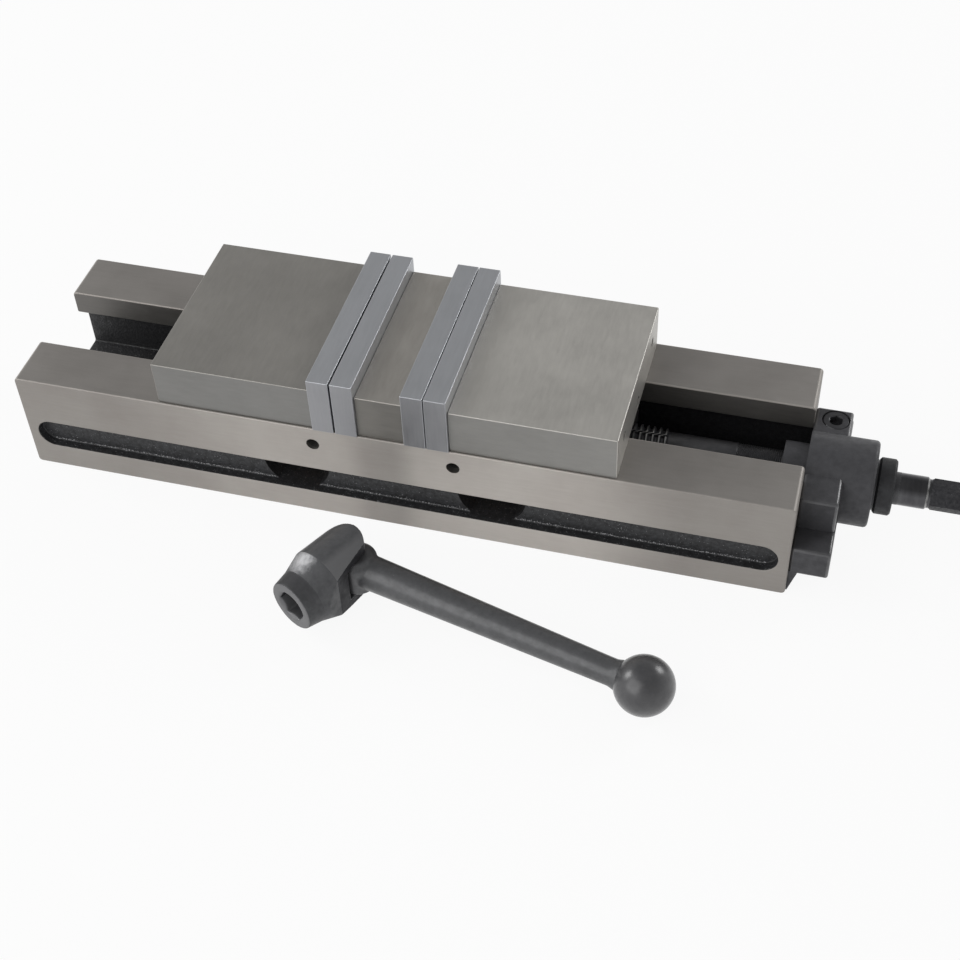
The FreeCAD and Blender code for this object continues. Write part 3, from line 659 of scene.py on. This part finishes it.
def plain_ring(x, radius):
    return [(x, radius)] * sides


def hex_ring(x, limit):
    """A ring with six corners, cut off where the round bar it was milled from ends."""
    ring = []
    for n in range(sides):
        angle = (n / sides * 360 + 30) % 60 - 30
        ring.append((x, min(hex_half_flats / math.cos(math.radians(angle)), limit)))
    return ring


def joined_rows(bm, rows, hollow=False):
    """Faces between neighbouring rows of points; a row of one point is a tip, and open ends are closed."""
    for near, far in list(zip(rows, rows[1:])) + ([(rows[-1], rows[0])] if hollow else []):
        count = max(len(near), len(far))
        for n in range(count):
            m = (n + 1) % count
            if len(near) == 1:
                bm.faces.new((near[0], far[m], far[n]))
            elif len(far) == 1:
                bm.faces.new((near[n], near[m], far[0]))
            else:
                bm.faces.new((near[n], near[m], far[m], far[n]))
    ends = [] if hollow else [rows[0][::-1], rows[-1]]
    for row in ends:
        if len(row) > 1:
            bm.faces.new(row)


screw_low, screw_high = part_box("lead_screw")
polish_radius, turned_down = journal_radius - polish_depth, journal_radius - bar_edge
rings = [plain_ring(screw_low.x, root_radius - bar_edge), plain_ring(screw_low.x + bar_edge, root_radius)]
rings += thread_rings(-thread_ends[1], -thread_ends[0], pitch, crest_radius, root_radius, 1)
rings += [plain_ring(-thread_ends[0] + MM, shank_radius), plain_ring(thread_ends[0] - MM, shank_radius)]
rings += thread_rings(*thread_ends, pitch, crest_radius, root_radius, -1)
rings += [plain_ring(x, shank_radius) for x in (thread_ends[1] + run_out, fine_ends[0] - run_out)]
rings += thread_rings(*fine_ends, fine_pitch, shank_radius, shank_radius - fine_depth, -1)
rings += [plain_ring(x, radius) for x, radius in (
    (fine_ends[1] + run_out, shank_radius), (shoulder_x, shank_radius), (shoulder_x, journal_radius),
    (polish_start - polish_lead, journal_radius), (polish_start, polish_radius),
    (polish_end - bar_edge, polish_radius), (polish_end, turned_down), (hex_start, turned_down))]
rings += [hex_ring(x, limit) for x, limit in (
    (hex_start, turned_down), (hex_start + bar_edge, journal_radius),
    (screw_high.x - bar_edge, journal_radius), (screw_high.x, journal_radius - 1.2 * bar_edge))]
bm = bmesh.new()
rows = []
for ring in rings:
    row = []
    for n, (x, radius) in enumerate(ring):
        angle = 2 * math.pi * n / sides
        row.append(bm.verts.new((x, radius * math.sin(angle), axis_z + radius * math.cos(angle))))
    rows.append(row)
joined_rows(bm, rows)
bmesh.ops.remove_doubles(bm, verts=bm.verts, dist=0.001 * MM)
bmesh.ops.dissolve_degenerate(bm, edges=bm.edges, dist=0.001 * MM)
bmesh.ops.recalc_face_normals(bm, faces=bm.faces)
lead_screw = piece_from(bm, "threaded_bar")
softened(lead_screw, 0.12 * MM, 1, 30)
lengthwise = (2.0, 6.0, 6.0)
screw_black = ground_metal(
    "oiled_screw_steel", (0.105, 0.105, 0.11), (0.046, 0.046, 0.05), lengthwise, 0.34, 0.52, 0.7)
crest_and_rim_steel = ground_metal(
    "rubbed_crests_and_rim_highlight", (0.40, 0.40, 0.39), (0.16, 0.16, 0.16), lengthwise, 0.25, 0.42, 0.95)
polished = ground_metal(
    "polished_journal", (0.105, 0.105, 0.11), (0.06, 0.06, 0.064), (8.0, 2.0, 2.0), 0.1, 0.18, 1.0)
hex_black = cast_metal(
    "milled_hexagon", (0.029, 0.029, 0.032), (0.012, 0.012, 0.015), (0.10, 0.10, 0.11), 0.72, 700.0, 0.4,
    0.08)
dressed(lead_screw, "screw", "screw_steel", ["lead_screw"], screw_black, crest_and_rim_steel, polished, hex_black)
rubbed_and_highlit, journal, hexagon = 1, 2, 3
rubbed_depth = 0.4 * MM
polish_stop = hex_start - 0.2 * MM
# The thread crests show bare metal where the black is rubbed off; the chamfer at the journal's end gets the
# same bright steel as a painted highlight ring.
for face in lead_screw.data.polygons:
    x = face.center.x
    reach = math.hypot(face.center.y, face.center.z - axis_z)
    if reach > crest_radius - rubbed_depth or polish_end - bar_edge < x < polish_end:
        face.material_index = rubbed_and_highlit
    elif polish_start < x < polish_stop:
        face.material_index = journal
    elif x > polish_stop:
        face.material_index = hexagon


# Socket head cap screws: bought parts, black oxide, with a knurled head and a broken hexagon; they hold
# the plates, the nuts, the guide blocks, the centre jaw and the housing, and pinch the housing's clamp.
m6_screw = (3.0 * MM, 5.0 * MM, 6.0 * MM, 5.0 * MM)
m8_screw = (4.0 * MM, 6.5 * MM, 8.0 * MM, 6.0 * MM)
knurls = 36
knurl_depth = 0.12 * MM
head_edge = 0.5 * MM


def cap_screw(size, seat, toward_tip, length, name):
    """A screw whose head seats at a point; toward_tip is the unit vector from head to tip."""
    shank, head, head_height, key = size
    bm = bmesh.new()
    steps = 2 * knurls
    levels = [(-head_height, head - head_edge, False), (-head_height + head_edge, head, False),
              (-head_height + 1.6 * head_edge, head, True), (-1.2 * head_edge, head, True),
              (-0.6 * head_edge, head, False), (0, head - 0.3 * head_edge, False), (0, shank, False),
              (length - head_edge, shank, False), (length, shank - head_edge, False)]
    rows = []
    for height, radius, cut in levels:
        row = []
        for n in range(steps):
            reach = radius - (knurl_depth if cut and n % 2 else 0)
            angle = 2 * math.pi * n / steps
            row.append(bm.verts.new((reach * math.cos(angle), reach * math.sin(angle), height)))
        rows.append(row)
    joined_rows(bm, rows)
    bmesh.ops.recalc_face_normals(bm, faces=bm.faces)
    screw = piece_from(bm, name)
    socket = bar(key / math.sqrt(3), (0, 0, -head_height - MM), (0, 0, -head_height * 0.5), sides=6)
    lead_in = bar(key * 0.62, (0, 0, -head_height - 0.05 * MM), (0, 0, -head_height + 0.7 * MM), sides=48,
                  end_radius=key * 0.45)
    shaped(screw, [socket, lead_in])
    softened(screw, 0.08 * MM, 1, 40)
    # Painted shade: the socket and the head's outer rim take the nearly black second material, for the shade
    # in the socket and in the gap around the head.
    for face in screw.data.polygons:
        reach, depth = face.center.xy.length, face.center.z + head_height
        in_socket = reach < 0.6 * key and 0.02 * MM < depth < 0.6 * head_height
        on_rim = reach > head - 0.9 * head_edge and depth < head_height
        face.material_index = 1 if in_socket or on_rim else 0
    screw.data.transform(standing(seat, toward_tip))
    return screw


fastener_black = ground_metal(
    "black_oxide", (0.075, 0.075, 0.08), (0.035, 0.035, 0.038), all_ways, 0.28, 0.44, 0.6)
fastener_painted_shade = cast_metal(
    "painted_shade_recess", (0.014, 0.014, 0.015), (0.006, 0.006, 0.006), (0.03, 0.03, 0.03), 0.76, 500.0, 0.0, 0.02,
    specular=0.2)


def split_at(piece, degrees):
    """Keeps sharp edges crisp on a piece that is shaded smooth."""
    sharp = piece.modifiers.new("sharp", "EDGE_SPLIT")
    sharp.split_angle = math.radians(degrees)
    applied(piece)


def set_of_screws(node, body, size, seats, toward_tip, length):
    """The screws of one node, as one piece."""
    first, *others = [cap_screw(size, seat, toward_tip, length, node + "_set") for seat in seats]
    bm = bmesh.new()
    for each in (first, *others):
        bm.from_mesh(each.data)
    for each in others:
        bpy.data.objects.remove(each)
    bm.to_mesh(first.data)
    bm.free()
    first.name = node + "_set"
    smooth_shaded(first)
    dressed(first, body, "fastener_steel", [node], fastener_black, fastener_painted_shade)
    split_at(first, 32)


for node, body, outward in (("centre_left_plate_screws", "bed", -1), ("centre_right_plate_screws", "bed", 1),
                            ("left_plate_screws", "left_jaw", 1), ("right_plate_screws", "right_jaw", -1)):
    low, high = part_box(node)
    x = (high.x if outward > 0 else low.x) - outward * m8_screw[2]
    set_of_screws(node, body, m8_screw, [(x, y * plate_screw_half_spacing, plate_screw_z) for y in (-1, 1)],
                  (-outward, 0, 0), high.x - low.x - m8_screw[2])
for node, body, size in (
        ("left_nut_screws", "left_jaw", m6_screw), ("left_guide_screws", "left_jaw", m6_screw),
        ("right_nut_screws", "right_jaw", m6_screw), ("right_guide_screws", "right_jaw", m6_screw),
        ("centre_jaw_bolts", "bed", m8_screw)):
    low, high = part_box(node)
    x, y = (low.x + high.x) / 2, high.y - size[1]
    set_of_screws(node, body, size, [(x, side * y, low.z + size[2]) for side in (-1, 1)],
                  (0, 0, 1), high.z - low.z - size[2])
low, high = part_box("housing_screws")
housing_screw_z = (low.z + high.z) / 2
set_of_screws("housing_screws", "bed", m8_screw,
              [(high.x - m8_screw[2], side * (high.y - m8_screw[1]), housing_screw_z) for side in (-1, 1)],
              (-1, 0, 0), high.x - low.x - m8_screw[2])
low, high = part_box("pinch_screw")
pinch_x, pinch_y, pinch_seat_z = (low.x + high.x) / 2, (low.y + high.y) / 2, high.z - m8_screw[2]
set_of_screws("pinch_screw", "bed", m8_screw, [(pinch_x, pinch_y, pinch_seat_z)],
              (0, 0, -1), pinch_seat_z - low.z)


# End housing: a dark coated casting with a barrel for the screw's bush, a pilot that enters the channel,
# two ears and two bolted wings; it is slit on the rear side, where the pinch screw closes it.
barrel_radius = 21.4 * MM
barrel_start, barrel_end = bed_high.x, 234.0 * MM
barrel_rim, flange_edge = 2.0 * MM, 1.4 * MM
pilot_radius = 14.7 * MM
pilot_start = 189.3 * MM
flange_end = 219.8 * MM
flange_bottom, wing_top, ear_top = 13.1 * MM, 30.0 * MM, 48.8 * MM
ear_half, wing_half = 32.8 * MM, 47.8 * MM
ear_setback = 0.6 * MM
bush_seat_radius, bush_seat_start = 12.0 * MM, 208.0 * MM
throat_radius = 10.0 * MM
slit_start, slit_half = 203.0 * MM, 1.0 * MM
wing_screw_y = 37.2 * MM
head_pocket_radius, shank_hole_radius = 6.9 * MM, 4.3 * MM
pinch_hole_bottom = 20.0 * MM
skirt_reach, skirt_toe, skirt_foot = 4.5 * MM, 0.5 * MM, 0.7 * MM


def turned(profile, start, along, name, count=96, hollow=False):
    """A piece turned on an axis: profile holds (distance along, radius) from one end to the other."""
    bm = bmesh.new()
    rows = []
    for distance, radius in profile:
        row = []
        for n in range(count if radius else 1):
            turn = 2 * math.pi * n / count
            row.append(bm.verts.new((radius * math.cos(turn), radius * math.sin(turn), distance)))
        rows.append(row)
    joined_rows(bm, rows, hollow)
    bmesh.ops.recalc_face_normals(bm, faces=bm.faces)
    bmesh.ops.transform(bm, matrix=standing(start, along), verts=bm.verts)
    return piece_from(bm, name)


def on_axis(radius, first, last):
    """A bar on the screw's axis."""
    return bar(radius, (first, 0, axis_z), (last, 0, axis_z), sides=96)


def glazed(made, weight, roughness):
    """Gives a surface the thin gloss that oil and handling leave on it."""
    shader = made.node_tree.nodes["Principled BSDF"]
    shader.inputs["Coat Weight"].default_value = weight
    shader.inputs["Coat Roughness"].default_value = roughness
    return made


barrel_length = barrel_end - barrel_start
rim_start, rim_radius = barrel_length - barrel_rim, barrel_radius - barrel_rim
outline = [(0, 0), (0, barrel_radius)]
for angle in range(0, 91, 15):
    turn = math.radians(angle)
    outline.append((rim_start + barrel_rim * math.sin(turn), rim_radius + barrel_rim * math.cos(turn)))
housing = turned(outline + [(barrel_length, 0)], (barrel_start, 0, axis_z), (1, 0, 0), "bearing_housing")
pieces = []
for half, high_z, thick in ((ear_half, ear_top, flange_end - ear_setback), (wing_half, wing_top, flange_end)):
    pieces.append(softened(block((bed_high.x, -half, flange_bottom), (thick, half, high_z)), flange_edge, 4))
pieces.append(on_axis(pilot_radius, pilot_start, bed_high.x + 2 * MM))
skirt_top = flange_bottom + flange_edge
skirt_outline = [(bed_high.x + reach, -wing_half, z) for reach, z in (
    (0, skirt_foot), (skirt_toe, skirt_foot), (skirt_reach, skirt_top), (0, skirt_top))]
pieces.append(prism(skirt_outline, (0, 2 * wing_half, 0)))
shaped(housing, pieces, "UNION")
openings = [
    on_axis(bush_seat_radius, bush_seat_start, barrel_end + MM),
    on_axis(throat_radius, pilot_start - MM, bush_seat_start + MM),
    block((slit_start, throat_radius - MM, axis_z - slit_half),
          (barrel_end + MM, ear_half + MM, axis_z + slit_half)),
    bar(head_pocket_radius, (pinch_x, pinch_y, pinch_seat_z), (pinch_x, pinch_y, ear_top + MM)),
    bar(shank_hole_radius, (pinch_x, pinch_y, pinch_hole_bottom), (pinch_x, pinch_y, pinch_seat_z + MM),
        sides=48)]
seat_x = flange_end - head_pocket_depth
for y in (-wing_screw_y, wing_screw_y):
    for radius, start, end, around in ((head_pocket_radius, seat_x, flange_end + MM, 64),
                                       (shank_hole_radius, bed_high.x - MM, seat_x + MM, 48)):
        openings.append(bar(radius, (start, y, housing_screw_z), (end, y, housing_screw_z), sides=around))
shaped(housing, openings)
smooth_shaded(housing)
split_at(housing, 35)
coat_speck = (0.08, 0.08, 0.085)
dark_coat = cast_metal(
    "dark_satin_coat", (0.065, 0.065, 0.070), (0.048, 0.048, 0.052), coat_speck, 0.76, 260.0, 0.2, 0.05, 0.40,
    0.60, 0.3)
rubbed_edge = cast_metal(
    "rubbed_coat_edge", (0.068, 0.068, 0.073), (0.050, 0.050, 0.054), coat_speck, 0.76, 260.0, 0.3, 0.05,
    0.38, 0.58)
dressed(housing, "bed", "dark_casting", ["end_housing"], dark_coat, glazed(rubbed_edge, 0.7, 0.18))
for face in housing.data.polygons:
    if abs(face.center.y) > barrel_radius + MM and max(abs(share) for share in face.normal) < 0.985:
        face.material_index = 1


# Lock collar: a turned dark ring on the journal that holds the end play, set by a small headless screw.
low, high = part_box("lock_collar")
collar_radius = (high.z - low.z) / 2
collar_length = high.x - low.x
collar_edge = 1.0 * MM
dish_radius, dish_depth, dish_slope = journal_radius + 2.2 * MM, 0.6 * MM, 0.2 * MM
outline = [(0, journal_radius), (0, collar_radius - collar_edge), (collar_edge, collar_radius),
           (collar_length - collar_edge, collar_radius), (collar_length, collar_radius - collar_edge),
           (collar_length, dish_radius), (collar_length - dish_depth, dish_radius - dish_slope),
           (collar_length - dish_depth, journal_radius)]
collar = turned(outline, (low.x, 0, axis_z), (1, 0, 0), "turned_collar", hollow=True)
softened(collar, 0.15 * MM, 2, 30)
collar_black = cast_metal(
    "blackened_collar", (0.022, 0.023, 0.026), (0.016, 0.016, 0.018), (0.05, 0.05, 0.055), 0.76, 300.0, 0.3,
    0.03)
dressed(collar, "screw", "dark_steel", ["lock_collar"], collar_black)


# Handle: a turned and milled head with a hexagon socket, a swivelling arm whose flat eye turns in the
# head's fork, and a ball at its end; forged and cast steel under the same dark coat, which is painted
# lighter on the head and darker on the ball as painted light and shade, with a painted highlight and bare
# wear on the cone.
hub_radius = 18.4 * MM
pivot = Vector((-0.2, -97.25, 18.4)) * MM
hub_heading, arm_heading = math.radians(61.7), math.radians(-12.9)
pin_offset = 5.2 * MM
nose_radius, nose_root = 12.9 * MM, 14.5 * MM
nose_x, nose_length, cone_length = -38.2 * MM, 8.5 * MM, 10.7 * MM
end_x, end_radius, end_side = 7.7 * MM, 14.2 * MM, 1.6 * MM
end_taper, flat_turn = math.radians(11.0), math.radians(13.0)
pivot_to_flat = 4.0 * MM
socket_half_flats = 7.1 * MM
socket_depth = 24 * MM
mouth_depth = 1.6 * MM
fork_half, fork_wall = 9.8 * MM, 11.0 * MM
hub_place = Matrix.Translation(pivot) @ Matrix.Rotation(hub_heading, 4, "Z")
arm_place = Matrix.Translation(pivot) @ Matrix.Rotation(arm_heading, 4, "Z")


def rounded_over(piece, grid, rounds):
    """Rounds a forged piece all over, as its dies, its coat and long handling do."""
    skin = piece.modifiers.new("skin", "REMESH")
    skin.mode = "VOXEL"
    skin.voxel_size = grid
    skin.use_smooth_shade = True
    relax = piece.modifiers.new("relax", "SMOOTH")
    relax.factor = 0.5
    relax.iterations = rounds
    applied(piece)


cone_start = nose_x + nose_length
cone_end = cone_start + cone_length
reach = 3 * hub_radius
profile = [(nose_x, 0), (nose_x, nose_radius), (cone_start, nose_root), (cone_end, hub_radius),
           (end_x, hub_radius), (end_x, 0)]
hub = turned(profile, (0, pin_offset, 0), (1, 0, 0), "cranked_head", 128)
end_centre = Vector((end_x - end_radius, pin_offset + end_side, -reach))
flat_depth = (end_centre.y + pivot_to_flat) * math.cos(flat_turn) - end_centre.x * math.sin(flat_turn)
first = flat_turn - math.pi / 2 + math.acos(flat_depth / end_radius)
last = math.pi / 2 - end_taper
arc_steps = 48
plan = []
for n in range(arc_steps + 1):
    angle = first + (last - first) * n / arc_steps
    plan.append(end_centre + end_radius * Vector((math.cos(angle), math.sin(angle), 0)))
far = pin_offset + hub_radius + MM
plan.append(Vector((plan[-1].x - (far - plan[-1].y) / math.tan(end_taper), far, -reach)))
plan.append(Vector((nose_x - MM, far, -reach)))
plan.append(Vector((nose_x - MM, -pivot_to_flat + math.tan(flat_turn) * (nose_x - MM), -reach)))
shaped(hub, [prism(plan, (0, 0, 2 * reach))], "INTERSECT")
socket = bar(socket_half_flats / math.cos(math.pi / 6), (nose_x - MM, pin_offset, 0),
             (nose_x + socket_depth, pin_offset, 0), sides=6, turn=math.radians(30))
mouth = bar(socket_half_flats * 1.22, (nose_x - 0.1 * MM, pin_offset, 0),
            (nose_x + mouth_depth, pin_offset, 0), end_radius=socket_half_flats * 0.95)
fork = block((-fork_wall, -reach, -fork_half), (reach, reach, fork_half))
shaped(hub, [socket, mouth, fork])
rounded_over(hub, 0.42 * MM, 7)
hub.data.transform(hub_place)

handle_speck = (0.13, 0.13, 0.135)


def patched_coat(name, centre, near, far, patch_colour, light, dark, specular):
    """The handle's coat mixed towards another colour in one patch that fades out around a point."""
    made = cast_metal(name, light, dark, handle_speck, 0.76, 260.0, 0.4, 0.0, 0.40, 0.60, specular)
    tree = made.node_tree
    place = object_place(tree)
    away = shader_node(tree, "ShaderNodeVectorMath", {0: place, 1: centre}, operation="DISTANCE")
    ragged = worked_out(tree, "MULTIPLY", cloudy(tree, place, 420.0, 4.0, 0.6), 3 * (far - near))
    edge = worked_out(tree, "ADD", away.outputs["Value"], ragged)
    share = ranged(tree, edge, far, 3 * far - near, 1.0, 0.0)
    return recoloured(made, mixed(tree, share, look_of(made).outputs["Colour"], (*patch_colour, 1)))


# Painted light and shade: the head gets a lighter copy and the ball a darker copy of the arm's coat.
handle_coat = cast_metal(
    "handle_satin_coat", (0.072, 0.073, 0.077), (0.052, 0.053, 0.056), handle_speck, 0.76, 260.0, 0.25, 0.04,
    0.40, 0.60)
head_lit_coat = cast_metal(
    "handle_head_coat_painted_light", (0.084, 0.085, 0.089), (0.062, 0.063, 0.067), handle_speck, 0.76, 260.0, 0.25, 0.04,
    0.40, 0.60)
ball_shaded_coat = cast_metal(
    "ball_satin_coat_painted_shade", (0.044, 0.044, 0.047), (0.031, 0.031, 0.034), (0.09, 0.09, 0.095), 0.78, 200.0, 0.1,
    0.04, 0.45, 0.65, 0.3)
# Painted shade: the milled flat and the walls of the socket get a darker copy of the coat, with little
# specular.
flat_shaded_coat = cast_metal(
    "milled_flat_coat_painted_shade", (0.036, 0.036, 0.040), (0.024, 0.024, 0.027), (0.07, 0.07, 0.075), 0.76, 260.0, 0.1,
    0.04, 0.40, 0.60, 0.15)
nose_face = ground_metal(
    "turned_nose_face", (0.17, 0.17, 0.175), (0.12, 0.12, 0.125), all_ways, 0.4, 0.55, 0.5, 200.0)
# The cone's upper part turns to a pale patch: partly bare metal worn through the coat, partly a painted
# highlight where the light reflects.
cone_highlight_and_wear = patched_coat(
    "worn_cone_painted_highlight", Vector((-22.3, -111.2, 34.2)) * MM, 2.4 * MM, 5.6 * MM, (0.50, 0.50, 0.51),
    (0.100, 0.101, 0.105), (0.074, 0.075, 0.079), 0.3)
# The nose's side gets a patch that darkens the coat around a point, with less specular.
nose_side = patched_coat(
    "darkened_nose_side", Vector((-22.6, -124.5, 32.0)) * MM, 4 * MM, 10 * MM, (0.052, 0.052, 0.055),
    (0.086, 0.087, 0.091), (0.064, 0.065, 0.068), 0.25)
# Painted highlight: the head's coat is lightened on the faces that turn towards the milled flat's side, as a
# band along the flat's upper edge.
head_tree = head_lit_coat.node_tree
surface = shader_node(head_tree, "ShaderNodeNewGeometry")
toward_flat = shader_node(head_tree, "ShaderNodeVectorMath", {
    0: surface.outputs["Normal"], 1: hub_place.to_3x3() @ Vector((0, -1, 0))}, operation="DOT_PRODUCT")
painted_shoulder_highlight = ranged(head_tree, toward_flat.outputs["Value"], 0.12, 0.34, 0.0, 0.75)
plain = look_of(head_lit_coat).outputs["Colour"]
recoloured(head_lit_coat, mixed(head_tree, painted_shoulder_highlight, plain, (0.135, 0.136, 0.14, 1)))
for made, weight, roughness in ((handle_coat, 0.5, 0.25), (head_lit_coat, 0.3, 0.3), (ball_shaded_coat, 1.0, 0.27)):
    glazed(made, weight, roughness)
dressed(hub, "bed", "handle_paint", ["handle_hub"], head_lit_coat, cone_highlight_and_wear, nose_face, nose_side, flat_shaded_coat)
flat_normal = Vector((math.sin(flat_turn), -math.cos(flat_turn), 0))
to_hub = hub_place.inverted()
cone, nose_end, nose, flat = 1, 2, 3, 4
face_depth, rim_depth, rim_width, nose_depth = 0.3 * MM, 1.0 * MM, 0.5 * MM, 1.5 * MM
for face in hub.data.polygons:
    centre = to_hub @ face.center
    off_axis = math.hypot(centre.y - pin_offset, centre.z)
    on_face = centre.x < nose_x + face_depth and off_axis > socket_half_flats
    on_rim = centre.x < nose_x + rim_depth and socket_half_flats < off_axis < nose_radius - rim_width
    in_socket = centre.x < nose_x + socket_depth and off_axis < 1.25 * socket_half_flats
    if cone_start < centre.x < cone_end and off_axis > nose_radius:
        face.material_index = cone
    elif on_face or on_rim:
        face.material_index = nose_end
    elif centre.x < cone_start and off_axis > nose_radius - nose_depth:
        face.material_index = nose
    # Socket walls and the milled flat take the darker copy that paints shade on them.
    elif in_socket and face.normal.z < 0.3 or (to_hub.to_3x3() @ face.normal).dot(flat_normal) > 0.93:
        face.material_index = flat

eye_radius, eye_bevel, tongue_half = 10.3 * MM, 3.0 * MM, 9.7 * MM
arm_root, arm_tip = 8.7 * MM, 6.5 * MM
root_start, neck_flare, neck_length = 5.6 * MM, 1.2 * MM, 5.0 * MM
arm_length = 151.7 * MM
ball_radius = 14.35 * MM
arm_slope = math.asin((hub_radius - ball_radius) / arm_length)
arm_end = arm_length - 0.8 * ball_radius
outward = Vector((math.cos(arm_slope), 0, -math.sin(arm_slope)))
arm = turned([(-tongue_half, 0), (-tongue_half, eye_radius - MM), (-tongue_half + MM, eye_radius),
              (tongue_half - eye_bevel, eye_radius), (tongue_half, eye_radius - eye_bevel), (tongue_half, 0)],
             (0, 0, 0), (0, 0, 1), "swivel_arm")
profile = [(root_start, 0)]
arm_steps = 32
for n in range(arm_steps + 1):
    s = root_start + (arm_end - root_start) * n / arm_steps
    near_ball = max(0.0, (s - (arm_end - neck_length)) / neck_length)
    profile.append((s, arm_root + (arm_tip - arm_root) * n / arm_steps + neck_flare * near_ball ** 2))
shaped(arm, [turned(profile + [(arm_end, 0)], (0, 0, 0), outward, "tool")], "UNION")
rounded_over(arm, 0.45 * MM, 8)
arm.data.transform(arm_place)
dressed(arm, "handle_arm", "handle_paint", ["handle_arm"], handle_coat)

bm = bmesh.new()
bmesh.ops.create_icosphere(bm, subdivisions=5, radius=ball_radius)
bmesh.ops.translate(bm, verts=bm.verts, vec=arm_place @ (arm_length * outward))
ball = piece_from(bm, "ball_knob")
smooth_shaded(ball)
dressed(ball, "handle_arm", "handle_paint", ["handle_ball"], ball_shaded_coat)


# Inner pieces: nuts, guide blocks, bush, wiper, washers, dowels and small pins keep the construction's
# own solids; they are plain turned or milled parts that are seen only from below or through the channel.
bronze = ground_metal(
    "machined_bronze", (0.52, 0.35, 0.17), (0.40, 0.26, 0.12), (6.0, 6.0, 1.0), 0.3, 0.45, 0.95)
milled_iron = ground_metal(
    "milled_iron", (0.24, 0.24, 0.24), (0.17, 0.17, 0.17), (6.0, 1.0, 6.0), 0.38, 0.52, 0.8)
hard_steel = ground_metal(
    "hardened_steel", (0.55, 0.55, 0.56), (0.47, 0.47, 0.48), (1.0, 8.0, 8.0), 0.2, 0.32, 0.95)
black_rubber = cast_metal(
    "wiper_rubber", (0.022, 0.022, 0.022), (0.012, 0.012, 0.012), (0.03, 0.03, 0.03), 0.75, 500.0, 0.0, 0.05)
for finish, names in ((bronze, ("left_nut", "right_nut", "screw_bush")),
                      (milled_iron, ("left_guide_block", "right_guide_block")),
                      (black_rubber, ("screw_wiper",)),
                      (hard_steel, ("inner_thrust_washer", "centre_jaw_dowels")),
                      (head_lit_coat, ("handle_pin",)),
                      (fastener_black, ("outer_thrust_washer", "left_jaw_set_screw", "right_jaw_set_screw",
                                        "collar_set_screw"))):
    for node in names:
        nodes[node].data.materials.clear()
        nodes[node].data.materials.append(finish)


low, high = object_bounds()
